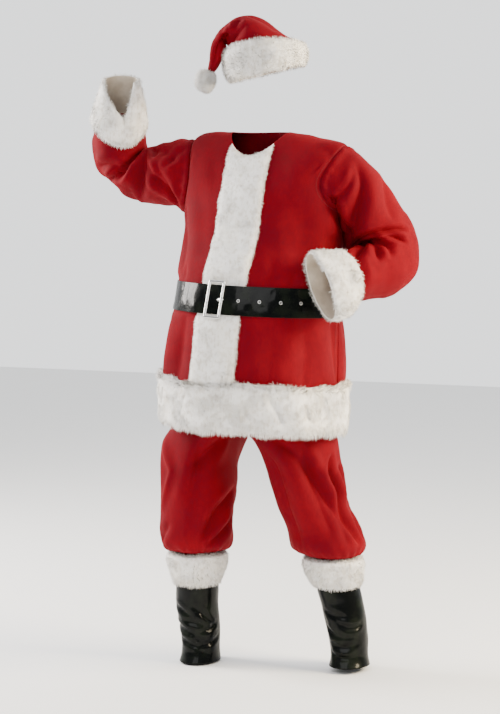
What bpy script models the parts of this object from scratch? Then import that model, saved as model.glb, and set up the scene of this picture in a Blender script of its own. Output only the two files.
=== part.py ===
"""Santa suit: hat, jacket, belt, trousers and boot tops, held as they hang on a wearer.

The origin is the middle of the neckline. +Z is up, the suit faces -Y and the
wearer's left is +X. Every length is in metres. Each cut or sewn piece is one
object: a thin wall of cloth, or the plain reach of its fur.
"""

import math
from collections import namedtuple

import bmesh
import bpy
from mathutils import Vector

# Walls and gaps
FLANNEL = 0.0020  # wall of the red cloth
VINYL = 0.0015  # wall of the boot tops
ELASTIC = 0.0030  # folded casing round the waist
SEAM = 0.0003  # gap where two pieces are sewn edge to edge
LIFT = 0.0005  # gap under what is sewn flat on a panel

# Belt and buckle
BELT_WIDTH = 0.076
BELT_THICK = 0.0025
BELT_INNER_SHARE = 0.33  # of half the width, where its face has two more edges
BELT_HEIGHT = -0.433  # of its middle at the centre front
BELT_SLOPE = -0.05  # it hangs lower on the wearer's left
BELT_GAP = 0.0010  # off the jacket
BELT_LAP = BELT_THICK + 0.0004  # the tail lies this far out from the layer below
TAIL_END = -0.104  # from the front seam, on the wearer's right
BUCKLE_X = -0.008  # from the front seam
BUCKLE_WIDTH = 0.050
BUCKLE_HEIGHT = 0.102
BUCKLE_BAR = 0.008
BUCKLE_THICK = 0.004
BUCKLE_GAP = 0.0012  # off the strap
PRONG_THICK = 0.0020
# From its eyelet up and over the bar on the wearer's left, where it rests.
Prong = namedtuple("Prong", "x lift half")
PRONG = (
    Prong(0.0105, 0.0004, 0.0016),
    Prong(0.0150, 0.0030, 0.0012),
    Prong(0.0175, 0.0044, 0.0012),
    Prong(0.0250, 0.0044, 0.0012),
    Prong(0.0275, 0.0034, 0.0008),
)
EYELET_STEP = 0.055
EYELET_RADIUS = 0.0045
EYELET_HOLE = 0.0024
EYELET_THICK = 0.0010
EYELETS = 6

# Fur trim
BAND_HALF = 0.0630  # half width of the band down the front
BAND_THICK = 0.0150
BAND_PRESSED = 0.0036  # where the belt squeezes it
HEM_THICK = 0.0160
POMPOM_RADIUS = 0.032

# Meshing
ROUND = 16  # points round a sleeve, which are also those of an armhole
LEG_ROUND = 16
HAT_ROUND = 20
SIDE_STRIPS = 7  # strips of a front between the fur band and its side seam
BACK_STRIPS = 18

Level = namedtuple(
    "Level", "name zRight zLeft zFront zBack right left front back shift line square"
)
BODY = (
    Level("hem", -0.745, -0.782, -0.768, -0.768, 0.238, 0.249, 0.240, 0.190, -0.024, -0.026, 2.3),
    Level("trim", -0.632, -0.664, -0.651, -0.650, 0.237, 0.250, 0.238, 0.178, -0.022, -0.0245, 2.3),
    Level("hip", -0.540, -0.560, -0.555, -0.550, 0.230, 0.247, 0.234, 0.165, -0.018, -0.0175, 2.3),
    Level("belt", -0.428, -0.447, -0.440, -0.435, 0.209, 0.234, 0.222, 0.150, -0.012, -0.0085, 2.3),
    Level("waist", -0.340, -0.350, -0.345, -0.345, 0.212, 0.237, 0.190, 0.140, -0.006, -0.001, 2.3),
    Level("chest", -0.262, -0.265, -0.262, -0.262, 0.219, 0.243, 0.155, 0.133, 0.000, 0.004, 2.3),
    Level("armpit", -0.205, -0.205, -0.207, -0.205, 0.221, 0.244, 0.140, 0.128, 0.000, 0.004, 2.3),
    Level("middle", -0.110, -0.118, -0.160, -0.140, 0.222, 0.249, 0.126, 0.120, 0.000, 0.004, 2.2),
    Level("tip", -0.008, -0.034, -0.118, -0.070, 0.204, 0.250, 0.106, 0.096, 0.000, 0.002, 2.1),
    Level("slope", 0.016, -0.008, -0.085, -0.024, 0.146, 0.165, 0.090, 0.076, 0.000, 0.001, 2.0),
    Level("neck", 0.014, 0.008, -0.055, 0.014, 0.085, 0.085, 0.072, 0.062, 0.000, 0.000, 2.0),
)
ARMPIT, ARM_MIDDLE, TIP, NECK = 6, 7, 8, 10
ARMHOLE_WIDE = math.radians(34)  # half the armhole's spread round the body

# A sleeve is a tube that turns about the crease inside the elbow. A section's
# slide is its way along the arm from there, turn is how much of the bend it has
# made, near and far are its inner and outer edges, half is half its other width
# and fur is the thickness of the cuff over it.
Section = namedtuple("Section", "name slide turn near far half fur")
RAISED = (
    Section("upper", -0.095, 0.00, -0.022, 0.153, 0.080, 0.0),
    Section("upper", -0.060, 0.00, -0.018, 0.154, 0.078, 0.0),
    Section("upper", -0.028, 0.00, -0.012, 0.151, 0.075, 0.0),
    Section("bend", 0.000, 0.12, -0.004, 0.143, 0.073, 0.0),
    Section("bend", 0.000, 0.34, 0.004, 0.136, 0.071, 0.0),
    Section("bend", 0.000, 0.58, 0.005, 0.139, 0.070, 0.0),
    Section("bend", 0.000, 0.80, 0.004, 0.145, 0.069, 0.0),
    Section("fore", 0.006, 1.00, 0.002, 0.150, 0.069, 0.0),
    Section("cuff seam", 0.062, 1.00, 0.004, 0.150, 0.068, 0.005),
    Section("cuff", 0.080, 1.00, 0.007, 0.149, 0.066, 0.012),
    Section("sleeve end", 0.099, 1.00, 0.011, 0.143, 0.062, 0.013),
    Section("cuff", 0.132, 1.00, 0.016, 0.132, 0.055, 0.013),
    Section("cuff", 0.166, 1.00, 0.021, 0.121, 0.048, 0.012),
    Section("mouth", 0.194, 1.00, 0.024, 0.112, 0.044, 0.008),
)
BENT = (
    Section("upper", -0.130, 0.00, -0.010, 0.155, 0.071, 0.0),
    Section("upper", -0.095, 0.00, -0.012, 0.155, 0.071, 0.0),
    Section("upper", -0.060, 0.00, -0.012, 0.155, 0.071, 0.0),
    Section("upper", -0.026, 0.00, -0.007, 0.155, 0.072, 0.0),
    Section("bend", 0.000, 0.12, -0.001, 0.158, 0.073, 0.0),
    Section("bend", 0.000, 0.34, 0.004, 0.169, 0.073, 0.0),
    Section("bend", 0.000, 0.58, 0.006, 0.172, 0.072, 0.0),
    Section("bend", 0.000, 0.80, 0.007, 0.158, 0.070, 0.0),
    Section("fore", 0.022, 1.00, 0.012, 0.142, 0.065, 0.0),
    Section("cuff seam", 0.086, 1.00, 0.014, 0.138, 0.056, 0.006),
    Section("cuff", 0.100, 1.00, 0.011, 0.146, 0.053, 0.012),
    Section("sleeve end", 0.116, 1.00, 0.007, 0.156, 0.050, 0.013),
    Section("cuff", 0.136, 1.00, 0.002, 0.166, 0.046, 0.013),
    Section("cuff", 0.159, 1.00, -0.003, 0.170, 0.042, 0.012),
    Section("mouth", 0.180, 1.00, -0.007, 0.168, 0.039, 0.008),
)
SLEEVE_END = "sleeve end"
CUFF_START = "cuff seam"

Arm = namedtuple(
    "Arm", "side shoulder elbow wrist crease twist sense cap rows notch notchAt notchDeep seamDip"
)
RIGHT_ARM = Arm(
    -1, (-0.215, 0.000, -0.095), (-0.440, 0.010, -0.092), (-0.395, -0.075, 0.157),
    0.100, math.radians(-18), -1, 0.010, RAISED, True, math.radians(228), 0.100, 0.040,
)
LEFT_ARM = Arm(
    1, (0.240, 0.010, -0.095), (0.371, 0.095, -0.3375), (0.250, -0.158, -0.397),
    0.133, math.radians(117), 1, 0.005, BENT, False, 0.0, 0.0, 0.0,
)

# Trouser legs: above the crotch each half stops at the centre seam, below it the
# section closes round the leg. outer and inner are where its sides stand in x.
Leg = namedtuple("Leg", "name z centre outer inner y front back")
RIGHT_LEG = (
    Leg("waist", -0.438, -0.012, -0.205, None, 0.000, 0.168, 0.122),
    Leg("hip", -0.550, -0.018, -0.226, None, 0.000, 0.188, 0.138),
    Leg("seat", -0.660, -0.022, -0.240, None, 0.000, 0.184, 0.150),
    Leg("seat", -0.730, -0.024, -0.250, None, 0.000, 0.166, 0.150),
    Leg("crotch", -0.765, -0.026, -0.256, -0.0262, -0.002, 0.148, 0.144),
    Leg("thigh", -0.797, -0.098, -0.268, -0.056, -0.010, 0.130, 0.130),
    Leg("thigh", -0.835, -0.142, -0.282, -0.070, -0.020, 0.119, 0.120),
    Leg("thigh", -0.880, -0.165, -0.286, -0.078, -0.026, 0.112, 0.112),
    Leg("thigh", -0.925, -0.174, -0.284, -0.074, -0.031, 0.110, 0.110),
    Leg("knee", -0.985, -0.178, -0.280, -0.078, -0.036, 0.106, 0.106),
    Leg("knee", -1.050, -0.180, -0.279, -0.083, -0.040, 0.102, 0.102),
    Leg("pouf", -1.090, -0.180, -0.281, -0.081, -0.040, 0.102, 0.102),
    Leg("pouf", -1.112, -0.180, -0.275, -0.085, -0.040, 0.096, 0.096),
    Leg("fold", -1.124, -0.180, -0.260, -0.100, -0.040, 0.082, 0.082),
    Leg("fold", -1.128, -0.180, -0.244, -0.116, -0.040, 0.068, 0.068),
    Leg("tuck", -1.133, -0.180, -0.2365, -0.1235, -0.040, 0.0585, 0.0585),
    Leg("hem", -1.165, -0.180, -0.234, -0.126, -0.040, 0.056, 0.056),
)
LEFT_LEG = (
    Leg("waist", -0.438, -0.012, 0.181, None, 0.000, 0.168, 0.122),
    Leg("hip", -0.550, -0.018, 0.192, None, 0.000, 0.188, 0.138),
    Leg("seat", -0.660, -0.022, 0.198, None, 0.000, 0.184, 0.150),
    Leg("seat", -0.730, -0.024, 0.204, None, 0.000, 0.166, 0.150),
    Leg("crotch", -0.765, -0.026, 0.209, -0.0258, 0.000, 0.148, 0.144),
    Leg("thigh", -0.797, 0.044, 0.213, -0.010, 0.006, 0.130, 0.130),
    Leg("thigh", -0.835, 0.084, 0.214, 0.002, 0.012, 0.122, 0.120),
    Leg("thigh", -0.880, 0.112, 0.215, 0.018, 0.020, 0.113, 0.113),
    Leg("thigh", -0.925, 0.128, 0.218, 0.030, 0.027, 0.110, 0.110),
    Leg("knee", -0.985, 0.138, 0.228, 0.043, 0.038, 0.104, 0.104),
    Leg("knee", -1.050, 0.160, 0.253, 0.062, 0.052, 0.100, 0.100),
    Leg("pouf", -1.090, 0.172, 0.270, 0.067, 0.057, 0.101, 0.101),
    Leg("pouf", -1.112, 0.177, 0.270, 0.075, 0.060, 0.095, 0.095),
    Leg("fold", -1.124, 0.180, 0.260, 0.098, 0.062, 0.082, 0.082),
    Leg("fold", -1.128, 0.182, 0.246, 0.118, 0.063, 0.068, 0.068),
    Leg("tuck", -1.133, 0.183, 0.2395, 0.1265, 0.063, 0.0585, 0.0585),
    Leg("hem", -1.165, 0.1865, 0.2405, 0.1325, 0.064, 0.056, 0.056),
)
CROTCH_ROW = 4
CROTCH_DIP = 0.018  # the seam sags between the thighs
WAISTBAND_TALL = 0.035

# Boot tops: x, y is the middle of each section, wide and deep its half sizes.
Shaft = namedtuple("Shaft", "name z x y wide deep fur")
RIGHT_BOOT = (
    Shaft("top", -1.135, -0.180, -0.040, 0.0595, 0.0635, 0.027),
    Shaft("fur", -1.152, -0.180, -0.040, 0.0595, 0.0640, 0.029),
    Shaft("fur", -1.185, -0.180, -0.040, 0.0585, 0.0640, 0.020),
    Shaft("fur end", -1.218, -0.180, -0.040, 0.0575, 0.0640, 0.009),
    Shaft("calf", -1.280, -0.180, -0.039, 0.0560, 0.0630, 0.0),
    Shaft("shin", -1.345, -0.172, -0.038, 0.0530, 0.0600, 0.0),
    Shaft("ankle", -1.395, -0.168, -0.040, 0.0500, 0.0580, 0.0),
    Shaft("lower edge", -1.432, -0.168, -0.046, 0.0540, 0.0660, 0.0),
)
LEFT_BOOT = (
    Shaft("top", -1.135, 0.183, 0.063, 0.0595, 0.0635, 0.027),
    Shaft("fur", -1.152, 0.185, 0.064, 0.0595, 0.0640, 0.029),
    Shaft("fur", -1.185, 0.190, 0.065, 0.0585, 0.0640, 0.020),
    Shaft("fur end", -1.210, 0.197, 0.066, 0.0575, 0.0640, 0.009),
    Shaft("calf", -1.280, 0.216, 0.067, 0.0560, 0.0630, 0.0),
    Shaft("shin", -1.345, 0.229, 0.067, 0.0520, 0.0600, 0.0),
    Shaft("ankle", -1.395, 0.233, 0.066, 0.0490, 0.0580, 0.0),
    Shaft("lower edge", -1.422, 0.236, 0.060, 0.0530, 0.0660, 0.0),
)
FUR_END_ROW = 3

# Hat, in its own frame: a to the wearer's left of the turned head, h up it. Each
# ring runs from its inner to its outer point, and half is half its depth.
HAT_PLACE = Vector((0.0097, 0.0052, 0.214))
HAT_TURN = math.radians(28)
HAT_ROLL = math.radians(6)
HAT_TILT = math.radians(-4)
Ring = namedtuple("Ring", "name innerA innerH outerA outerH half fur")
HAT = (
    Ring("brim", -0.096, -0.058, 0.096, -0.034, 0.102, 0.008),
    Ring("band", -0.097, -0.036, 0.097, -0.020, 0.103, 0.012),
    Ring("band", -0.098, -0.008, 0.098, -0.004, 0.104, 0.013),
    Ring("band", -0.098, 0.021, 0.097, 0.012, 0.103, 0.012),
    Ring("band top", -0.0975, 0.041, 0.095, 0.025, 0.101, 0.008),
    Ring("crown", -0.0975, 0.054, 0.072, 0.041, 0.095, 0.0),
    Ring("crown", -0.0985, 0.060, 0.041, 0.062, 0.087, 0.0),
    Ring("crown", -0.100, 0.063, 0.007, 0.090, 0.077, 0.0),
    Ring("crown", -0.102, 0.063, -0.027, 0.107, 0.067, 0.0),
    Ring("fold", -0.106, 0.061, -0.062, 0.108, 0.056, 0.0),
    Ring("fold", -0.111, 0.055, -0.094, 0.094, 0.047, 0.0),
    Ring("fold", -0.1145, 0.043, -0.124, 0.070, 0.040, 0.0),
    Ring("tail", -0.1165, 0.026, -0.144, 0.040, 0.032, 0.0),
    Ring("tail", -0.122, 0.008, -0.154, 0.011, 0.024, 0.0),
    Ring("tail", -0.132, -0.008, -0.160, -0.008, 0.016, 0.0),
    Ring("tip", -0.144, -0.017, -0.160, -0.018, 0.008, 0.0),
)
HAT_BAND_ROWS = 5
POMPOM_PLACE = (-0.168, -0.050)

COLOURS = {
    "flannel": ((0.60, 0.012, 0.020), 0.85, 0.0),
    "fur": ((0.86, 0.83, 0.76), 0.95, 0.0),
    "vinyl": ((0.006, 0.007, 0.007), 0.25, 0.0),
    "silver": ((0.80, 0.79, 0.76), 0.22, 1.0),
    "steel": ((0.60, 0.60, 0.58), 0.30, 1.0),
}


def clearScene():
    for item in list(bpy.data.objects):
        bpy.data.objects.remove(item, do_unlink=True)


def material(nodeName, finish):
    colour, roughness, metallic = COLOURS[finish]
    made = bpy.data.materials.new(nodeName + "_" + finish)
    made.use_nodes = True
    shader = made.node_tree.nodes["Principled BSDF"]
    shader.inputs["Base Color"].default_value = (*colour, 1.0)
    shader.inputs["Roughness"].default_value = roughness
    shader.inputs["Metallic"].default_value = metallic
    return made


def makeObject(name, points, faces, finish, sharp=40):
    mesh = bpy.data.meshes.new(name)
    mesh.from_pydata([tuple(p) for p in points], [], faces)
    work = bmesh.new()
    work.from_mesh(mesh)
    bmesh.ops.recalc_face_normals(work, faces=work.faces)
    work.to_mesh(mesh)
    work.free()
    mesh.shade_smooth()
    mesh.set_sharp_from_angle(angle=math.radians(sharp))
    mesh.materials.append(material(name, finish))
    made = bpy.data.objects.new(name, mesh)
    bpy.context.scene.collection.objects.link(made)
    return made


# Walls from two surfaces


def gridFaces(rows, columns, closed):
    faces = []
    for i in range(rows - 1):
        for j in range(columns if closed else columns - 1):
            k = (j + 1) % columns
            faces.append((i * columns + j, i * columns + k,
                          (i + 1) * columns + k, (i + 1) * columns + j))
    return faces


def wallObject(name, outer, inner, faces, finish):
    """Close two matching surfaces into one wall along the edges that stay open."""
    count = len(outer)
    walls = list(faces)
    for face in faces:
        back = [i + count for i in face]
        walls.append((back[0], *reversed(back[1:])))
    directed = set()
    for face in faces:
        directed.update(zip(face, face[1:] + face[:1]))
    for a, b in sorted(directed):
        if (b, a) not in directed:
            walls.append((b, a, a + count, b + count))
    return makeObject(name, list(outer) + list(inner), walls, finish)


def sheetObject(name, outerRows, innerRows, closed, finish):
    faces = gridFaces(len(outerRows), len(outerRows[0]), closed)
    outer = [p for row in outerRows for p in row]
    inner = [p for row in innerRows for p in row]
    return wallObject(name, outer, inner, faces, finish)


def middle(points):
    return sum(points, Vector()) / len(points)


def ringNormals(rows):
    """Outward directions of a tube that is given as rings of points."""
    normals = []
    for i, row in enumerate(rows):
        above = rows[min(i + 1, len(rows) - 1)]
        below = rows[max(i - 1, 0)]
        centre = middle(row)
        line = []
        for j, point in enumerate(row):
            along = above[j] - below[j]
            across = row[(j + 1) % len(row)] - row[j - 1]
            normal = across.cross(along).normalized()
            if normal.dot(point - centre) < 0:
                normal = -normal
            line.append(normal)
        normals.append(line)
    return normals


def moved(rows, normals, distance):
    return [[p + n * distance for p, n in zip(row, line)] for row, line in zip(rows, normals)]


def smooth(rows, place):
    """A row between the rows of a table, on a smooth curve through all of them."""
    last = len(rows) - 1
    place = min(max(place, 0.0), last)
    i = min(int(place), last - 1)
    t = place - i
    before, start, end, after = (rows[min(max(i + k, 0), last)] for k in (-1, 0, 1, 2))
    values = [start.name]
    for a, b, c, d in zip(before[1:], start[1:], end[1:], after[1:]):
        slopeB = (c - a) / 2
        slopeC = (d - b) / 2
        values.append(
            b * (2 * t**3 - 3 * t**2 + 1) + slopeB * (t**3 - 2 * t**2 + t)
            + c * (3 * t**2 - 2 * t**3) + slopeC * (t**3 - t**2)
        )
    return type(start)(*values)


# The jacket's body


def bodyPoint(theta, v):
    """theta is 0 at the wearer's left side, -90 degrees in front; v is the level."""
    level = smooth(BODY, v)
    c = math.cos(theta)
    s = math.sin(theta)
    power = 2 / level.square
    side = level.left if c > 0 else level.right
    depth = level.back if s > 0 else level.front
    sideZ = level.zLeft if c > 0 else level.zRight
    depthZ = level.zBack if s > 0 else level.zFront
    return Vector((
        level.shift + side * math.copysign(abs(c) ** power, c),
        depth * math.copysign(abs(s) ** power, s),
        sideZ * c * c + depthZ * s * s,
    ))


def bodyNormal(theta, v):
    turn = 0.02
    rise = 0.04
    around = bodyPoint(theta + turn, v) - bodyPoint(theta - turn, v)
    upward = bodyPoint(theta, v + rise) - bodyPoint(theta, v - rise)
    return around.cross(upward).normalized()


def onBody(theta, v, distance):
    return bodyPoint(theta, v) + bodyNormal(theta, v) * distance


def thetaAtX(v, x):
    """The angle in front where the body is x to the wearer's left of the front seam."""
    level = smooth(BODY, v)
    off = level.line + x - level.shift
    side = level.left if off > 0 else level.right
    share = min(abs(off) / side, 1.0) ** (level.square / 2)
    return -math.acos(math.copysign(share, off))


def levelAtZ(theta, z):
    low = 0.0
    high = float(TIP)
    for _ in range(30):
        v = (low + high) / 2
        if bodyPoint(theta, v).z < z:
            low = v
        else:
            high = v
    return (low + high) / 2


def sideEdge(v):
    """How far from the side, in angle, a panel stops: its seam or the armhole."""
    level = smooth(BODY, v)
    seam = math.asin((SEAM / 2 / level.front) ** (level.square / 2))
    off = abs(v - ARM_MIDDLE)
    if off >= 1:
        return seam
    return max(seam, ARMHOLE_WIDE * math.sqrt(1 - off * off))


def frontColumns(v, side):
    """Angles from the centre front to the side edge, on the wearer's left if side is 1."""
    near = [thetaAtX(v, side * x) for x in (SEAM / 2, BAND_HALF / 2, BAND_HALF)]
    last = -sideEdge(v) if side > 0 else -math.pi + sideEdge(v)
    step = (last - near[-1]) / SIDE_STRIPS
    return near + [near[-1] + step * (k + 1) for k in range(SIDE_STRIPS)]


def backColumns(v):
    edge = sideEdge(v)
    step = (math.pi - 2 * edge) / BACK_STRIPS
    return [edge + step * k for k in range(BACK_STRIPS + 1)]


def ringColumns(v):
    """All round, from the centre front past the wearer's left side to it again."""
    left = frontColumns(v, 1)[:-1]
    right = frontColumns(v, -1)[:-1]
    return left + [0.0] + backColumns(v)[1:-1] + [math.pi] + right[::-1]


def bodyLevels():
    below = [k / 2 for k in range(2 * ARMPIT)]
    half = ROUND // 2
    armhole = [ARM_MIDDLE - math.cos(math.pi * k / half) for k in range(half + 1)]
    above = [TIP + (NECK - TIP) * k / 3 for k in (1, 2, 3)]
    return below + armhole + above


def bodyRows(columns, levels, distance):
    return [[onBody(theta, v, distance) for theta in columns(v)] for v in levels]


def makeJacketBody():
    levels = bodyLevels()
    panels = {
        "jacket_front_right": lambda v: frontColumns(v, -1),
        "jacket_front_left": lambda v: frontColumns(v, 1),
        "jacket_back": backColumns,
    }
    for name, columns in panels.items():
        outer = bodyRows(columns, levels, 0.0)
        inner = bodyRows(columns, levels, -FLANNEL)
        sheetObject(name, outer, inner, False, "flannel")


# Fur on the jacket


def bandThickness(fromBelt):
    """The front band's thickness at a height above or below the belt's middle."""
    off = abs(fromBelt)
    stops = ((0.041, BAND_PRESSED), (0.056, 0.0085), (0.080, BAND_THICK))
    if off <= stops[0][0]:
        return stops[0][1]
    for (a, thickA), (b, thickB) in zip(stops, stops[1:]):
        if off <= b:
            return thickA + (thickB - thickA) * (off - a) / (b - a)
    return BAND_THICK


def bandLevels():
    """The body's levels above the hem trim, with more of them round the belt."""
    front = -math.pi / 2
    offsets = (-0.080, -0.056, -0.041, -0.014, 0.014, 0.041, 0.056, 0.080)
    belt = [levelAtZ(front, BELT_HEIGHT + off) for off in offsets]
    others = [v for v in bodyLevels() if v >= 1.5 and not belt[0] - 0.2 < v < belt[-1] + 0.2]
    return sorted([1.04, *belt, *others])


def makeFrontBand():
    shares = (-1.0, -0.5, 0.0, 0.5, 1.0)
    outer = []
    inner = []
    for v in bandLevels():
        columns = [thetaAtX(v, share * BAND_HALF) for share in shares]
        inner.append([onBody(theta, v, LIFT) for theta in columns])
        line = []
        for share, theta in zip(shares, columns):
            point = bodyPoint(theta, v)
            thick = bandThickness(point.z - beltMiddle(point.x))
            edge = 1.0 if abs(share) < 0.9 else 0.75
            line.append(onBody(theta, v, LIFT + max(thick * edge, BAND_PRESSED)))
        outer.append(line)
    sheetObject("front_fur_band", outer, inner, False, "fur")


def makeHemBand():
    reach = Vector((0, 0, -0.006))
    rows = ((0.0, 0.75, reach), (0.35, 1.0, Vector()), (0.7, 1.0, Vector()), (1.0, 0.7, Vector()))
    outer = []
    inner = []
    for v, share, drop in rows:
        columns = ringColumns(v)
        inner.append([onBody(theta, v, LIFT) + drop for theta in columns])
        outer.append([onBody(theta, v, HEM_THICK * share) + drop for theta in columns])
    sheetObject("hem_fur_band", outer, inner, False, "fur")


# Sleeves and their cuffs


def armFrame(arm):
    shoulder, elbow, wrist = Vector(arm.shoulder), Vector(arm.elbow), Vector(arm.wrist)
    upper = (elbow - shoulder).normalized()
    fore = (wrist - elbow).normalized()
    bend = math.acos(upper.dot(fore))
    out = -(fore - upper * fore.dot(upper)).normalized()
    hinge = out.cross(upper)
    crease = elbow + (fore - upper).normalized() * arm.crease
    return upper, out, hinge, crease, bend


def clearOfBody(point, gap):
    """Push a point off the jacket's body, along the level, until it has the gap."""
    theta = math.atan2(point.y, point.x)
    top = bodyPoint(theta, TIP).z
    if point.z > top - 0.004:
        return point
    level = smooth(BODY, levelAtZ(theta, point.z))
    x = point.x - level.shift
    side = level.left if x > 0 else level.right
    depth = level.back if point.y > 0 else level.front
    n = level.square
    ratio = ((abs(x) / side) ** n + (abs(point.y) / depth) ** n) ** (1 / n)
    reach = math.hypot(x, point.y)
    wanted = reach / ratio + gap
    if reach >= wanted:
        return point
    return Vector((level.shift + x * wanted / reach, point.y * wanted / reach, point.z))


def notchShare(arm, alpha):
    """1 at the deepest place of the cuff's V, 0 away from it."""
    if not arm.notch:
        return 0.0
    off = (alpha - arm.notchAt + math.pi) % (2 * math.pi) - math.pi
    spread = math.radians(110) if off > 0 else math.radians(42)
    return max(0.0, 1 - abs(off) / spread)


def seamDip(arm, alpha, turn, past):
    """How far a section slides back below the V, so that the cuff's seam dips there."""
    off = (alpha - arm.notchAt + math.pi) % (2 * math.pi) - math.pi
    if abs(off) > math.radians(100):
        return 0.0
    share = math.cos(off * 90 / 100) ** 2
    return arm.seamDip * share * ramp(turn, 0.3, 1.0) * (1 - ramp(past, 0.0, 1.0))


def sectionPoints(arm, section):
    upper, out, hinge, crease, bend = armFrame(arm)
    psi = section.turn * bend
    along = upper * math.cos(psi) - out * math.sin(psi)
    outward = out * math.cos(psi) + upper * math.sin(psi)
    names = [s.name for s in arm.rows]
    start = arm.rows[names.index(CUFF_START)].slide
    end = arm.rows[-1].slide
    points = []
    for k in range(ROUND):
        alpha = arm.twist + arm.sense * 2 * math.pi * k / ROUND
        slide = section.slide
        if slide > start:
            cut = arm.notchDeep * notchShare(arm, alpha % (2 * math.pi))
            slide = start + (slide - start) * (end - cut - start) / (end - start)
        slide -= seamDip(arm, alpha, section.turn, (section.slide - start) / (end - start))
        centre = crease + along * slide + outward * (section.near + section.far) / 2
        point = centre + outward * math.cos(alpha) * (section.far - section.near) / 2
        point += hinge * math.sin(alpha) * section.half
        gap = 0.004 + 0.008 * ramp(-point.z, 0.32, 0.38)
        points.append(clearOfBody(point, gap + section.fur * 1.1))
    return points


def armholeRim(arm, distance):
    rim = []
    for k in range(ROUND):
        beta = 2 * math.pi * k / ROUND
        v = ARM_MIDDLE - math.cos(beta)
        spread = ARMHOLE_WIDE * math.sin(beta)
        theta = -spread if arm.side > 0 else -math.pi + spread
        rim.append(onBody(theta, v, distance))
    return rim


def capRow(arm, rim, first):
    """The sleeve's cap: half way to the first section, and fuller over the top."""
    up = Vector((0.5 * arm.side, 0, 0.85)).normalized()
    row = []
    for k, (a, b) in enumerate(zip(rim, first)):
        full = 0.5 - 0.5 * math.cos(2 * math.pi * k / ROUND)
        row.append(clearOfBody((a + b) / 2 + up * arm.cap * full ** 1.5, 0.004))
    return row


def makeSleeve(arm, sleeveName, cuffName):
    names = [s.name for s in arm.rows]
    end = names.index(SLEEVE_END)
    cuffAt = names.index(CUFF_START)
    sections = [sectionPoints(arm, s) for s in arm.rows]
    rim = armholeRim(arm, LIFT)
    outer = [rim, capRow(arm, rim, sections[0])] + sections
    normals = ringNormals(outer)
    inner = moved(outer, normals, -FLANNEL)
    centre = middle(rim)
    inner[0] = [p + (centre - p).normalized() * FLANNEL for p in rim]
    lead = 2  # the rim and the cap come before the sections
    last = lead + end + 1
    sheetObject(sleeveName, outer[:last], inner[:last], True, "flannel")
    cuffInner = []
    cuffOuter = []
    for i in range(cuffAt, len(sections)):
        row = outer[lead + i]
        line = normals[lead + i]
        cuffInner.append([p + n * LIFT for p, n in zip(row, line)])
        cuffOuter.append([p + n * (LIFT + arm.rows[i].fur) for p, n in zip(row, line)])
    sheetObject(cuffName, cuffOuter, cuffInner, True, "fur")


# Belt


def beltMiddle(x):
    return BELT_HEIGHT + BELT_SLOPE * x


def ramp(value, start, end):
    t = min(max((value - start) / (end - start), 0.0), 1.0)
    return t * t * (3 - 2 * t)


def beltBase(point, v):
    """How far the belt's inner face stands off the jacket: more over the fur band."""
    if point.y > 0:
        return BELT_GAP
    off = abs(point.x - smooth(BODY, v).line)
    over = 1 - ramp(off, BAND_HALF + 0.002, BAND_HALF + 0.040)
    return BELT_GAP + (LIFT + BAND_PRESSED) * over


def beltStations():
    """Angles along the strap, each with how far it has climbed on to the lower layer."""
    v = 3.0
    front = [thetaAtX(v, -x) for x in (0.020, BAND_HALF / 2, BAND_HALF)]
    right = front + frontColumns(v, -1)[3:-1] + [-math.pi]
    back = [theta - 2 * math.pi for theta in reversed(backColumns(v)[1:-1])]
    left = [-2 * math.pi] + [theta - 2 * math.pi for theta in reversed(frontColumns(v, 1)[1:-1])]
    lap = [thetaAtX(v, x) for x in (0.0, -0.020, -BAND_HALF / 2, -BAND_HALF)]
    last = thetaAtX(v, TAIL_END)
    tail = [theta for theta in frontColumns(v, -1)[3:] if theta > last + 0.02]
    lap += tail + [last]
    stations = [(theta, 0.0) for theta in right + back]
    for theta in left:
        point = bodyPoint(theta, v)
        climb = 1 - ramp(point.x, 0.026, 0.076) if point.y < 0 else 0.0
        stations.append((theta, climb))
    stations += [(theta - 2 * math.pi, 1.0) for theta in lap]
    return stations


def beltPoint(theta, climb, share, distance):
    """A point of the strap: share runs from -1 at its lower edge to 1 at its upper."""
    middlePoint = bodyPoint(theta, 3.0)
    z = beltMiddle(middlePoint.x) + share * BELT_WIDTH / 2
    v = levelAtZ(theta, z)
    point = bodyPoint(theta, v)
    normal = bodyNormal(theta, v)
    normal.z = 0
    base = beltBase(point, v) + climb * BELT_LAP + distance
    return point + normal.normalized() * base


def makeBeltStrap():
    shares = (-1.0, -BELT_INNER_SHARE, BELT_INNER_SHARE, 1.0)
    stations = beltStations()
    inner = [[beltPoint(t, c, s, 0.0) for t, c in stations] for s in shares]
    outer = [[beltPoint(t, c, s, BELT_THICK) for t, c in stations] for s in shares]
    sheetObject("belt_strap", outer, inner, False, "vinyl")


def ringObject(name, centre, across, up, radius, hole, thick, finish, sides=12):
    """A flat ring whose back lies on the plane through centre."""
    normal = across.cross(up).normalized()
    outer = []
    for distance in (0.0, thick):
        for r in (radius, hole):
            for k in range(sides):
                a = 2 * math.pi * k / sides
                outer.append(centre + across * (r * math.cos(a)) + up * (r * math.sin(a))
                             + normal * distance)
    faces = []
    for k in range(sides):
        n = (k + 1) % sides
        backOut, backIn, faceOut, faceIn = 0, sides, 2 * sides, 3 * sides
        faces.append((backOut + k, backOut + n, faceOut + n, faceOut + k))
        faces.append((faceOut + k, faceOut + n, faceIn + n, faceIn + k))
        faces.append((faceIn + k, faceIn + n, backIn + n, backIn + k))
        faces.append((backIn + k, backIn + n, backOut + n, backOut + k))
    return makeObject(name, outer, faces, finish)


def strapFacets():
    """The strap's outer face from the buckle to the wearer's left: lower and upper points."""
    stations = [s for s in beltStations() if -2.6 * math.pi < s[0] < -1.95 * math.pi]
    shares = (-BELT_INNER_SHARE, BELT_INNER_SHARE)
    return [[beltPoint(t, c, s, BELT_THICK) for s in shares] for t, c in reversed(stations)]


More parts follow.
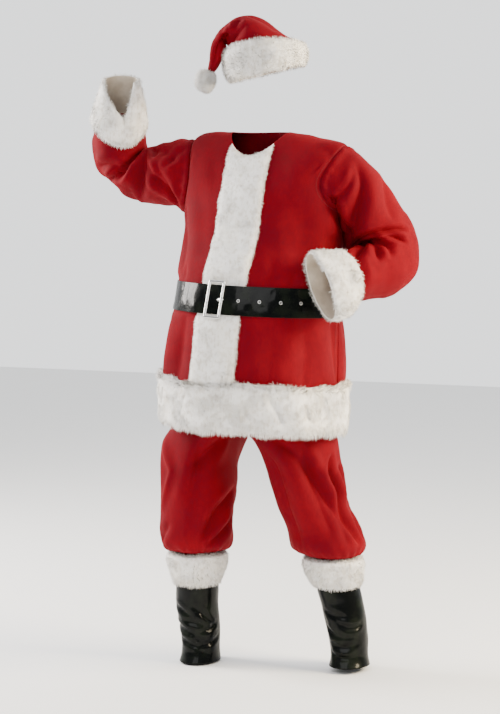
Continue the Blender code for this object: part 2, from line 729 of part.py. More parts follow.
def makeEyelets():
    """Rings along the strap, the first just inside the buckle's window."""
    facets = strapFacets()
    line = [(low + high) / 2 for low, high in facets]
    firstX = smooth(BODY, 3.0).line + BUCKLE_X + 0.0115
    travelled = 0.0
    targets = []
    for i, (a, b) in enumerate(zip(line, line[1:])):
        length = (b - a).length
        if not targets and a.x <= firstX <= b.x:
            start = travelled + length * (firstX - a.x) / (b.x - a.x)
            targets = [start + EYELET_STEP * k for k in range(EYELETS)]
        for k, target in enumerate(targets):
            if travelled <= target < travelled + length:
                along = (b - a).normalized()
                up = facets[i][1] - facets[i][0] + facets[i + 1][1] - facets[i + 1][0]
                up = (up - along * up.dot(along)).normalized()
                place = a + along * (target - travelled) + along.cross(up) * LIFT
                ringObject("belt_eyelet_%d" % (k + 1), place, along, up,
                           EYELET_RADIUS, EYELET_HOLE, EYELET_THICK, "steel")
        travelled += length


def buckleFrame():
    """The middle of the back of the buckle's frame, with its three directions."""
    theta = thetaAtX(3.0, BUCKLE_X)
    lower, centre, upper = (beltPoint(theta, 1.0, share, BELT_THICK) for share in (-1, 0, 1))
    beside = beltPoint(thetaAtX(3.0, BUCKLE_X + 0.01), 1.0, 0.0, BELT_THICK)
    up = (upper - lower).normalized()
    outward = (beside - centre).cross(up).normalized()
    return centre + outward * BUCKLE_GAP, up.cross(outward), up, outward


def makeBuckle():
    place, across, up, outward = buckleFrame()
    halfWide, halfTall = BUCKLE_WIDTH / 2, BUCKLE_HEIGHT / 2
    corner = 0.004
    profiles = []
    for inset in (0.0, BUCKLE_BAR):
        wide, tall = halfWide - inset, halfTall - inset
        cut = corner if inset == 0 else corner * 0.4
        profiles.append([
            (-wide + cut, -tall), (wide - cut, -tall), (wide, -tall + cut), (wide, tall - cut),
            (wide - cut, tall), (-wide + cut, tall), (-wide, tall - cut), (-wide, -tall + cut),
        ])
    outside, inside = profiles
    count = len(outside)
    points = []
    for depth in (0.0, BUCKLE_THICK):
        for profile in (outside, inside):
            points += [place + across * x + up * z + outward * depth for x, z in profile]
    faces = []
    for k in range(count):
        n = (k + 1) % count
        faces.append((k, n, 2 * count + n, 2 * count + k))
        faces.append((2 * count + k, 2 * count + n, 3 * count + n, 3 * count + k))
        faces.append((3 * count + k, 3 * count + n, count + n, count + k))
        faces.append((count + k, count + n, n, k))
    frame = makeObject("buckle_frame", points, faces, "silver")
    edge = frame.modifiers.new("rounded", "BEVEL")
    edge.width = 0.0008
    edge.segments = 1
    edge.limit_method = "ANGLE"
    edge.angle_limit = math.radians(50)
    prong = []
    for row in PRONG:
        for z, y in ((-row.half, 0), (row.half, 0), (row.half, PRONG_THICK), (-row.half, PRONG_THICK)):
            prong.append(place + across * row.x + up * z + outward * (row.lift + y))
    faces = [(3, 2, 1, 0)]
    for i in range(len(PRONG) - 1):
        for k in range(4):
            n = (k + 1) % 4
            faces.append((4 * i + k, 4 * i + n, 4 * i + 4 + n, 4 * i + 4 + k))
    top = 4 * (len(PRONG) - 1)
    faces.append((top, top + 1, top + 2, top + 3))
    makeObject("buckle_prong", prong, faces, "silver")


# Trousers


def legRow(row, side):
    """A section of one leg: the outer half first, then the inner half if it closes."""
    half = LEG_ROUND // 2
    gap = side * SEAM / 2
    points = []
    for k in range(half + 1):
        a = -math.pi / 2 + math.pi * k / half
        depth = row.back if a > 0 else row.front
        wide = abs(row.outer - row.centre)
        points.append(Vector((row.centre + gap + side * wide * math.cos(a),
                              row.y + depth * math.sin(a), row.z)))
    if row.inner is None:
        return points, []
    closing = []
    for k in range(1, half):
        a = math.pi / 2 + math.pi * k / half
        depth = row.back if math.sin(a) > 0 else row.front
        wide = abs(row.centre - row.inner)
        point = Vector((row.centre + gap + side * wide * math.cos(a),
                        row.y + depth * math.sin(a), row.z))
        if row.name == "crotch":
            point.x = row.centre + gap
            point.z -= CROTCH_DIP * -math.cos(a)
        closing.append(point)
    return points, closing


def legInward(points, faces, count):
    """Inward directions at each point, from the faces that meet there."""
    sums = [Vector() for _ in range(count)]
    for face in faces:
        a, b, c, d = (points[i] for i in face)
        normal = (c - a).cross(d - b)
        for i in face:
            sums[i] += normal
    return [-s.normalized() for s in sums]


def makeLeg(name, rows, side):
    half = LEG_ROUND // 2
    points = []
    index = []
    for row in rows:
        outerHalf, innerHalf = legRow(row, side)
        ring = outerHalf + innerHalf
        index.append(list(range(len(points), len(points) + len(ring))))
        points += ring
    faces = []
    for i in range(len(rows) - 1):
        upper, lower = index[i], index[i + 1]
        closed = i >= CROTCH_ROW
        count = LEG_ROUND if closed else half
        for j in range(count):
            k = (j + 1) % LEG_ROUND if closed else j + 1
            face = (lower[j], lower[k], upper[k], upper[j])
            faces.append(face if side > 0 else tuple(reversed(face)))
    inward = legInward(points, faces, len(points))
    for i in range(CROTCH_ROW):
        for j in (0, half):
            inward[index[i][j]].x = 0  # the centre seam's edges stay on their plane
            inward[index[i][j]].normalize()
    inner = [p + d * FLANNEL for p, d in zip(points, inward)]
    wallObject(name, points, inner, faces, "flannel")


def makeWaistband():
    top = RIGHT_LEG[0]
    left = LEFT_LEG[0]
    rows = []
    for z in (top.z + SEAM, top.z + WAISTBAND_TALL):
        line = []
        for k in range(2 * LEG_ROUND):
            a = -math.pi / 2 + 2 * math.pi * k / (2 * LEG_ROUND)
            wide = left.outer - top.centre if math.cos(a) > 0 else top.centre - top.outer
            depth = top.back if math.sin(a) > 0 else top.front
            line.append(Vector((top.centre + wide * math.cos(a), depth * math.sin(a), z)))
        rows.append(line)
    sheetObject("trouser_waistband", rows, moved(rows, ringNormals(rows), -ELASTIC), True, "flannel")


# Boot tops


def makeBootTop(name, furName, rows):
    rings = []
    for row in rows:
        rings.append([
            Vector((row.x + row.wide * math.cos(2 * math.pi * k / LEG_ROUND),
                    row.y + row.deep * math.sin(2 * math.pi * k / LEG_ROUND), row.z))
            for k in range(LEG_ROUND)
        ])
    normals = ringNormals(rings)
    sheetObject(name, rings, moved(rings, normals, -VINYL), True, "vinyl")
    furInner = []
    furOuter = []
    for i in range(FUR_END_ROW + 1):
        flat = [Vector((n.x, n.y, 0)).normalized() for n in normals[i]]
        furInner.append([p + n * LIFT for p, n in zip(rings[i], flat)])
        furOuter.append([p + n * (LIFT + rows[i].fur) for p, n in zip(rings[i], flat)])
    sheetObject(furName, furOuter, furInner, True, "fur")


# Hat


def hatAxes():
    right = Vector((math.cos(HAT_TURN), math.sin(HAT_TURN), 0))
    away = Vector((-math.sin(HAT_TURN), math.cos(HAT_TURN), 0))
    up = Vector((0, 0, 1))
    a = right * math.cos(HAT_ROLL) + up * math.sin(HAT_ROLL)
    h = up * math.cos(HAT_ROLL) - right * math.sin(HAT_ROLL)
    depth = away * math.cos(HAT_TILT) - h * math.sin(HAT_TILT)
    h = h * math.cos(HAT_TILT) + away * math.sin(HAT_TILT)
    return a, h, depth


def hatPoint(a, h, depth=0.0):
    sideways, up, back = hatAxes()
    return HAT_PLACE + sideways * a + up * h + back * depth


def makeHat():
    rings = []
    for ring in HAT:
        inside = hatPoint(ring.innerA, ring.innerH)
        outside = hatPoint(ring.outerA, ring.outerH)
        centre = (inside + outside) / 2
        reach = (outside - inside) / 2
        back = hatAxes()[2]
        rings.append([
            centre + reach * math.cos(2 * math.pi * k / HAT_ROUND)
            + back * (ring.half * math.sin(2 * math.pi * k / HAT_ROUND))
            for k in range(HAT_ROUND)
        ])
    normals = ringNormals(rings)
    inner = moved(rings, normals, -FLANNEL)
    faces = gridFaces(len(rings), HAT_ROUND, True)
    first = (len(rings) - 1) * HAT_ROUND
    faces.append(tuple(range(first, first + HAT_ROUND)))
    outerPoints = [p for row in rings for p in row]
    innerPoints = [p for row in inner for p in row]
    wallObject("hat_crown", outerPoints, innerPoints, faces, "flannel")
    furInner = []
    furOuter = []
    for i in range(HAT_BAND_ROWS):
        furInner.append([p + n * LIFT for p, n in zip(rings[i], normals[i])])
        furOuter.append([p + n * (LIFT + HAT[i].fur) for p, n in zip(rings[i], normals[i])])
    sheetObject("hat_fur_band", furOuter, furInner, True, "fur")
    mesh = bpy.data.meshes.new("hat_pompom")
    work = bmesh.new()
    bmesh.ops.create_icosphere(work, subdivisions=2, radius=POMPOM_RADIUS)
    bmesh.ops.translate(work, verts=work.verts, vec=hatPoint(*POMPOM_PLACE))
    work.to_mesh(mesh)
    work.free()
    mesh.shade_smooth()
    mesh.materials.append(material("hat_pompom", "fur"))
    bpy.context.scene.collection.objects.link(bpy.data.objects.new("hat_pompom", mesh))


def main():
    clearScene()
    makeJacketBody()
    makeFrontBand()
    makeHemBand()
    makeSleeve(RIGHT_ARM, "sleeve_right", "cuff_fur_right")
    makeSleeve(LEFT_ARM, "sleeve_left", "cuff_fur_left")
    makeBeltStrap()
    makeEyelets()
    makeBuckle()
    makeLeg("trouser_leg_right", RIGHT_LEG, -1)
    makeLeg("trouser_leg_left", LEFT_LEG, 1)
    makeWaistband()
    makeBootTop("boot_top_right", "boot_top_fur_right", RIGHT_BOOT)
    makeBootTop("boot_top_left", "boot_top_fur_left", LEFT_BOOT)
    makeHat()


main()
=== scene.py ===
import math

import bpy
import numpy as np
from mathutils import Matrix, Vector


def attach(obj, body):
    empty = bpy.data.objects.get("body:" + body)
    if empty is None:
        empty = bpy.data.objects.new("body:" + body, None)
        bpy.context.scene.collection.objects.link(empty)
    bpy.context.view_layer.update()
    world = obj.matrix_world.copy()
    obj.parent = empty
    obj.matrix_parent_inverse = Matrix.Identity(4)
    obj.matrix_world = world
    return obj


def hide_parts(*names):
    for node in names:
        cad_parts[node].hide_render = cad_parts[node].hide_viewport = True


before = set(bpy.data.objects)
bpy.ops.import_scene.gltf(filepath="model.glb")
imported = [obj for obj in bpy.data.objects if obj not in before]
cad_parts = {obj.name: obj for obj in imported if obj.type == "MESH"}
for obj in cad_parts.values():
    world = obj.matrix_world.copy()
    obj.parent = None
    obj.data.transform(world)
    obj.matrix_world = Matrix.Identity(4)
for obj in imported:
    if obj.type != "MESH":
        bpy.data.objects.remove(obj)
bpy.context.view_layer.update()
print("frame loaded")


# shader maths

class Shade:
    # wraps one output socket, so that maths on it adds the nodes
    def __init__(self, tree, socket):
        self.tree = tree
        self.socket = socket

    def node(self, kind, settings, sockets, out=0):
        made = self.tree.nodes.new("ShaderNode" + kind)
        for name, value in settings.items():
            if name == "stops":
                ramp = made.color_ramp
                while len(ramp.elements) < len(value):
                    ramp.elements.new(0.5)
                for element, (place, colour) in zip(ramp.elements, value):
                    element.position = place
                    element.color = colour
            else:
                setattr(made, name, value)
        for name, value in sockets.items():
            if isinstance(value, Shade):
                self.tree.links.new(value.socket, made.inputs[name])
            else:
                made.inputs[name].default_value = value
        return Shade(self.tree, made.outputs[out])

    def maths(self, operation, a, b=0.0):
        return self.node("Math", {"operation": operation}, {0: a, 1: b})

    def __add__(self, other):
        return self.maths("ADD", self, other)

    def __radd__(self, other):
        return self.maths("ADD", other, self)

    def __mul__(self, other):
        return self.maths("MULTIPLY", self, other)

    def __rmul__(self, other):
        return self.maths("MULTIPLY", other, self)

    def noise(self, scale, detail=2.0, roughness=0.5, stretch=(1, 1, 1)):
        place = self.node("Mapping", {}, {"Vector": self, "Scale": stretch})
        return self.node("TexNoise", {}, {"Vector": place, "Scale": scale, "Detail": detail,
                                          "Roughness": roughness})

    def ramp(self, low, high):
        # 0 below low, 1 above high
        return self.node("MapRange", {"interpolation_type": "SMOOTHSTEP"},
                         {"Value": self, "From Min": low, "From Max": high})

    def mix(self, first, second):
        return self.node("Mix", {"data_type": "RGBA"}, {0: self, 6: first, 7: second}, 2)

    def bump(self, strength, distance):
        return self.node("Bump", {}, {"Height": self, "Strength": strength, "Distance": distance})


def newMaterial(name, constants):
    made = bpy.data.materials.new(name)
    made.use_nodes = True
    shader = made.node_tree.nodes["Principled BSDF"]
    for socket, value in constants.items():
        shader.inputs[socket].default_value = value
    place = Shade(made.node_tree, None).node("TexCoord", {}, {}, 3)  # object space, in metres

    def feed(socket, value):
        made.node_tree.links.new(value.socket, shader.inputs[socket])
    return made, place, feed


flannelLook = {"deep": (0.112, 0.0006, 0.0052, 1), "bright": (0.175, 0.0009, 0.0062, 1),
               "worn": (0.23, 0.004, 0.009, 1)}


def flannelMaterial():
    made, place, feed = newMaterial("flannel", {
        "Roughness": 0.8, "Sheen Weight": 0.14, "Sheen Roughness": 0.4,
        "Sheen Tint": (0.8, 0.03, 0.02, 1), "Specular IOR Level": 0.08})
    cloud = place.noise(9.0, 3.0)
    nap = place.noise(160.0, 3.0, 0.6, (1, 1, 0.45))
    grain = place.noise(1400.0, 2.0)
    shade = (cloud * 0.6 + nap * 0.4).ramp(0.32, 0.70)
    colour = shade.mix(flannelLook["deep"], flannelLook["bright"])
    feed("Base Color", (grain.ramp(0.62, 0.80) * 0.35).mix(colour, flannelLook["worn"]))
    feed("Roughness", 0.70 + nap * 0.25)
    feed("Normal", (grain * 0.5 + nap * 0.45 + place.noise(420.0, 2.0) * 0.5).bump(0.40, 0.0012))
    return made


# white is the fur's own colour; shade is painted shade for the gaps between tufts and along hair streaks
furLook = {"white": (0.91, 0.89, 0.86, 1), "shade": (0.73, 0.69, 0.63, 1), "warm": (0.91, 0.86, 0.74, 1)}


def furMaterial(name, sheen, paintedShadeSpread):
    made, place, feed = newMaterial(name, {
        "Roughness": 0.9, "Sheen Weight": sheen, "Sheen Roughness": 0.4, "Specular IOR Level": 0.15})
    tuft = place.noise(85.0, 3.0, 0.6)
    patch = place.noise(14.0, 2.0)
    fine = place.noise(210.0, 2.0, 0.6, (1, 1, 0.14))
    # painted shade: darker where the tuft and streak noise is low, standing for shade down in the pile
    depth = (tuft * 0.65 + fine * 0.35).ramp(0.50 - paintedShadeSpread, 0.50 + paintedShadeSpread * 0.4)
    colour = depth.mix(furLook["shade"], furLook["white"])
    feed("Base Color", (patch.ramp(0.45, 0.75) * 0.35).mix(colour, furLook["warm"]))
    feed("Roughness", 0.75 + tuft * 0.2)
    feed("Normal", (place.noise(330.0, 3.0, 0.7) * 0.7 + tuft * 0.5).bump(0.45, 0.002))
    return made


vinylLook = {"black": (0.0012, 0.0017, 0.0017, 1), "olive": (0.0055, 0.0075, 0.0045, 1)}


def vinylMaterial(name, wrinkle, rough, coat):
    made, place, feed = newMaterial(name, {
        "Coat Roughness": 0.10, "Specular IOR Level": 0.03})
    cloud = place.noise(22.0, 3.0)
    crumple = place.noise(60.0, 4.0, 0.55)
    grain = place.noise(1900.0, 2.0)
    feed("Base Color", cloud.ramp(0.4, 0.7).mix(vinylLook["black"], vinylLook["olive"]))
    feed("Roughness", rough + cloud * 0.22)
    feed("Coat Weight", coat + crumple * coat)
    feed("Normal", (crumple * wrinkle + place.noise(18.0, 2.0) * wrinkle * 1.6 + grain * 0.02).bump(0.5, 0.008))
    return made


def metalMaterial(name, colour, rough):
    made, place, feed = newMaterial(name, {"Metallic": 1.0})
    smear = place.noise(120.0, 3.0)
    scratch = place.noise(700.0, 2.0, 0.5, (1, 1, 0.05))
    feed("Base Color", smear.ramp(0.3, 0.7).mix([c * 0.86 for c in colour[:3]] + [1], colour))
    feed("Roughness", rough + smear * 0.10 + scratch * 0.08)
    feed("Normal", (scratch * 0.3 + smear * 0.5).bump(0.15, 0.0006))
    return made


def liningMaterial():
    made, place, feed = newMaterial("trimBacking", {"Sheen Weight": 0.2, "Specular IOR Level": 0.1})
    knit = place.noise(900.0, 2.0)
    cloud = place.noise(30.0, 2.0)
    feed("Base Color", cloud.ramp(0.3, 0.7).mix((0.50, 0.42, 0.33, 1), (0.62, 0.54, 0.44, 1)))
    feed("Roughness", 0.8 + knit * 0.15)
    feed("Normal", knit.bump(0.5, 0.0006))
    return made


def threadMaterial(name, colour):
    made, place, feed = newMaterial(name, {"Sheen Weight": 0.3, "Specular IOR Level": 0.4})
    twist = place.noise(2500.0, 1.0)
    feed("Base Color", twist.ramp(0.35, 0.65).mix([c * 0.6 for c in colour[:3]] + [1], colour))
    feed("Roughness", 0.5 + twist * 0.3)
    feed("Normal", twist.bump(0.5, 0.0003))
    return made


materials = {
    "flannel": flannelMaterial(),
    "fur": furMaterial("furBacking", 0.25, 0.12),
    "hair": furMaterial("furHair", 0.4, 0.10),
    "lining": liningMaterial(),
    "belt": vinylMaterial("beltVinyl", 0.38, 0.16, 0.12),
    "boot": vinylMaterial("bootVinyl", 0.18, 0.28, 0.11),
    "silver": metalMaterial("polishedPlate", (0.86, 0.85, 0.82, 1), 0.10),
    "steel": metalMaterial("eyeletSteel", (0.62, 0.62, 0.60, 1), 0.22),
    "thread": threadMaterial("redThread", (0.13, 0.0012, 0.0055, 1)),
}
print("materials made")


# tables, grids and folds

def through(table, place):
    # a smooth curve through the rows of a table
    rows = np.asarray(table, float)
    last = len(rows) - 1
    place = np.clip(np.asarray(place, float), 0, last)
    i = np.minimum(place.astype(int), last - 1)
    t = (place - i).reshape(place.shape + (1,) * (rows.ndim - 1))
    a, b, c, d = (rows[np.clip(i + k, 0, last)] for k in (-1, 0, 1, 2))
    return (b * (2 * t**3 - 3 * t**2 + 1) + (c - a) / 2 * (t**3 - 2 * t**2 + t)
            + c * (3 * t**2 - 2 * t**3) + (d - b) / 2 * (t**3 - t**2))


def ease(value, start, end):
    t = np.clip((value - start) / (end - start), 0, 1)
    return t * t * (3 - 2 * t)


def unit(vectors):
    return vectors / np.maximum(np.linalg.norm(vectors, axis=-1, keepdims=True), 1e-9)


def facing(grid, closed, middle=None):
    # outward directions of a grid of points: rows along it, columns round it
    along = np.gradient(grid, axis=0)
    around = np.roll(grid, -1, 1) - np.roll(grid, 1, 1) if closed else np.gradient(grid, axis=1)
    normal = unit(np.cross(around, along))
    middle = grid.mean(axis=1, keepdims=True) if middle is None else middle
    return normal * np.sign(np.sum(normal * (grid - middle)))


def ripple(points, size, seed):
    # soft unevenness from -1 to 1 with lumps of about that size
    pick = np.random.default_rng(seed)
    total = np.zeros(points.shape[:-1])
    for _ in range(7):
        way = unit(pick.normal(size=3)) * pick.uniform(0.6, 1.5) * 2 * math.pi / (size * 2.2)
        total += np.sin(points @ way + pick.uniform(0, 2 * math.pi))
    return total / 3.2


def uneven(points, layers, shift=0):
    # soft lumps in layers, each with its height, squash along z, size and seed
    return sum(high * ripple(points * (1, 1, squash), size, seed + shift) for high, squash, size, seed in layers)


def crossed(rows, columns):
    # every row with every column
    return np.repeat(rows[:, None], len(columns), 1), np.repeat(columns[None, :], len(rows), 0)


def toLine(points, line):
    # distance to a line through points in space, and how far along it, from 0 to 1
    flat = points.reshape(-1, 3)
    best = np.full(len(flat), 1e9)
    where = np.zeros(len(flat))
    count = len(line) - 1
    for k in range(count):
        start, run = line[k], line[k + 1] - line[k]
        t = np.clip(((flat - start) @ run) / max(run @ run, 1e-12), 0, 1)
        off = np.linalg.norm(flat - start - t[:, None] * run, axis=1)
        closer = off < best
        best = np.where(closer, off, best)
        where = np.where(closer, (k + t) / count, where)
    return best.reshape(points.shape[:-1]), where.reshape(points.shape[:-1])


def folded(points, folds, surface, scale=(1, 1, 1)):
    # each fold is a line of places on the surface, then its half width, depth and lip in mm
    depth = np.zeros(points.shape[:-1])
    for fold in folds:
        places = np.reshape(fold[:-3], (-1, 2))
        wide, deep, lip = (size * share / 1000 for size, share in zip(fold[-3:], scale))
        line = surface(through(places, np.linspace(0, len(places) - 1, 6 * len(places) - 5)))
        off, along = toLine(points, line)
        fade = np.sin(math.pi * np.clip(along * 0.94 + 0.03, 0, 1)) ** 0.6
        spread = wide * (0.5 + 0.5 * fade)
        reach = np.exp(-(off / spread) ** 2)
        sharp = np.exp(-(off / (0.42 * spread)) ** 2)
        depth -= fade * deep * (0.65 * reach + 0.35 * sharp)
        depth += fade * lip * np.exp(-((off - 2.0 * spread) / (1.1 * spread)) ** 2)
    return depth


def gridFaces(grid, closed, endless=False):
    rows, columns = grid.shape[:2]
    down, across = (rows if endless else rows - 1), (columns if closed else columns - 1)
    i, j = np.meshgrid(np.arange(down), np.arange(across), indexing="ij")
    k, n = (j + 1) % columns, (i + 1) % rows
    return np.stack((i * columns + j, i * columns + k, n * columns + k, n * columns + j), -1).reshape(-1, 4)


def travelled(line):
    return np.concatenate(((0,), np.cumsum(np.linalg.norm(np.diff(line, axis=0), axis=1))))


def placeAt(way, lengths, values):
    # what the values are that far along a line
    return np.array([np.interp(way, lengths, column) for column in values.T])


def wound(faces, points, outward):
    # the same faces, turned so that they face outward
    a, b, d = (points[faces[:, k]] for k in (0, 1, 3))
    return faces if np.sum(np.cross(b - a, d - a) * outward[faces[:, 0]]) > 0 else faces[:, ::-1]


def makePiece(name, points, faces, look, normals=None):
    mesh = bpy.data.meshes.new(name)
    mesh.from_pydata(np.asarray(points).reshape(-1, 3).tolist(), [], [list(f) for f in faces])
    mesh.materials.append(materials[look])
    mesh.shade_smooth()
    if normals is not None:
        mesh.normals_split_custom_set_from_vertices(normals.reshape(-1, 3).tolist())
    made = bpy.data.objects.new(name, mesh)
    bpy.context.scene.collection.objects.link(made)
    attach(made, "root")
    return made


def makeCloth(name, node, grid, faces, look, thick, outward):
    # a sheet with its face on the grid and its back one thickness behind
    points = grid.reshape(-1, 3)
    made = makePiece(name, points, wound(faces, points, outward.reshape(-1, 3)).tolist(), look)
    wall = made.modifiers.new("cloth", "SOLIDIFY")
    wall.thickness = thick
    wall.offset = -1
    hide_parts(node)
    return made


# fur

pile = {"perArea": 215000, "width": 0.0013, "stand": 0.42, "sink": 0.0022}


def roundedEnds(share):
    # how full a trim is from edge to edge
    return np.clip(1 - np.abs(2 * share - 1) ** 7, 0.03, 1) ** 0.5


def closedShell(outer, inner, closed):
    faces = gridFaces(outer, closed).tolist()
    count = outer.shape[0] * outer.shape[1]
    back = [[i + count for i in reversed(face)] for face in faces]
    rim = []
    edges = set()
    for face in faces:
        edges.update(zip(face, face[1:] + face[:1]))
    for a, b in sorted(edges):
        if (b, a) not in edges:
            rim.append([b, a, a + count, b + count])
    return np.concatenate((outer.reshape(-1, 3), inner.reshape(-1, 3))), faces + back + rim


def scattered(pick, faces, perArea, fields):
    # random places over the faces of the first field's grid, and what each field is there
    corners = fields[0][faces]
    area = np.linalg.norm(np.cross(corners[:, 2] - corners[:, 0], corners[:, 3] - corners[:, 1]), axis=1) / 2
    count = int(area.sum() * perArea)
    chosen = faces[pick.choice(len(faces), count, p=area / area.sum())]
    u, v = pick.random(count)[:, None], pick.random(count)[:, None]
    between = []
    for values in fields:
        c = values[chosen]
        between.append((c[:, 0] * (1 - u) + c[:, 1] * u) * (1 - v) + (c[:, 3] * (1 - u) + c[:, 2] * u) * v)
    return between


def spikes(start, side, way, tip, up, width):
    # three-sided strands, shaded round their own middles
    third = np.cross(unit(side), way) * width * 0.8
    points = np.stack((start - side, start + side, start + third, tip), 1)
    base = np.arange(len(points))[:, None] * 4
    faces = np.concatenate((base + (0, 1, 3), base + (1, 2, 3), base + (2, 0, 3)))
    out = np.cross(points[:, 1] - points[:, 0], points[:, 3] - points[:, 0])
    wrong = np.sum(out * (points[:, 0] - points[:, 2]), -1) < 0
    faces = np.where(np.tile(wrong, 3)[:, None], faces[:, ::-1], faces)
    return points, faces, up[:, None, :] + unit(points - points.mean(axis=1, keepdims=True)) * 0.3


def blades(start, side, way, bend, tip, up):
    # flat strands of two lengths, shaded like the pile they stand in
    points = np.stack((start - side, start + side, bend + side * 0.75, bend - side * 0.75, tip), 1)
    face = np.cross(side, way)
    shade = unit(up * 0.86 + unit(face) * 0.14 * np.sign(np.sum(face * up, -1, keepdims=True)))
    toTip = np.array((0, 0, 0.5, 0.5, 1.0))[None, :, None]
    base = np.arange(len(points))[:, None] * 5
    faces = np.concatenate((base + (0, 1, 2), base + (0, 2, 3), base + (3, 2, 4)))
    return points, faces, shade[:, None, :] + (way * 0.28)[:, None, :] * toTip


def growHair(name, grid, normal, comb, closed, look):
    # strands rooted on the grid and leaning along the comb, joined in one piece
    pick = np.random.default_rng(look["seed"])
    fields = [g.reshape(-1, 3) for g in (grid, normal, comb)]
    root, up, lean = scattered(pick, gridFaces(grid, closed), look["perArea"], fields)
    up = unit(up)
    swirl = np.stack([ripple(root, look["tuft"], look["seed"] + k) for k in (1, 2, 3)], -1)
    clump = 0.5 + 0.5 * ripple(root, look["tuft"] * 0.8, look["seed"] + 4)
    way = up * look["stand"] + lean + swirl * look["swirl"] + pick.normal(size=root.shape) * look["stray"]
    way = unit(way + up * np.maximum(0.12 - np.sum(unit(way) * up, -1, keepdims=True), 0))
    length = look["length"] * (0.7 + 0.3 * clump + 0.35 * (pick.random(len(root)) - 0.5))[:, None]
    side = unit(np.cross(way, up + pick.normal(size=root.shape) * 0.35)) * look["width"] / 2
    start = root - up * look["sink"]
    bend = start + way * length * 0.55
    tip = bend + unit(way + lean * 0.5 - up * 0.35 + np.array((0, 0, -look["droop"]))) * length * 0.5
    if look.get("spikes"):
        points, faces, shades = spikes(start, side, way, tip, up, look["width"])
    else:
        points, faces, shades = blades(start, side, way, bend, tip, up)
    print(name, len(root), "strands")
    return makePiece(name, points, faces.tolist(), "hair", unit(shades))


def furTrim(name, node, under, normal, thick, closed, comb, look):
    # backing of uneven pile with blades over it, standing for one trim
    tufts, fine = ripple(under, look["tuft"] * 1.2, look["seed"]), ripple(under, 0.009, look["seed"] + 9)
    lump = thick * (0.72 + 0.07 * tufts + 0.03 * fine)
    outer = under + normal * (0.0006 + lump)[..., None]
    inner = under + normal * 0.0005
    points, faces = closedShell(outer, inner, closed)
    grid = outer.reshape(-1, 3)
    a, b, d = (grid[[f[k] for f in faces[:8]]] for k in (0, 1, 3))
    if np.sum(np.cross(b - a, d - a) * normal.reshape(-1, 3)[[f[0] for f in faces[:8]]]) < 0:
        faces = [f[::-1] for f in faces]
    backing = makePiece(name, points, faces, "fur")
    backing.data.materials.append(materials["lining"])
    half = len(gridFaces(outer, closed))
    for k in range(half, 2 * half):
        backing.data.polygons[k].material_index = 1
    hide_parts(node)
    hair = growHair(name + "Hair", outer, unit(facing(outer, closed, under)), comb, closed, look)
    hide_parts(node)


# the jacket's body

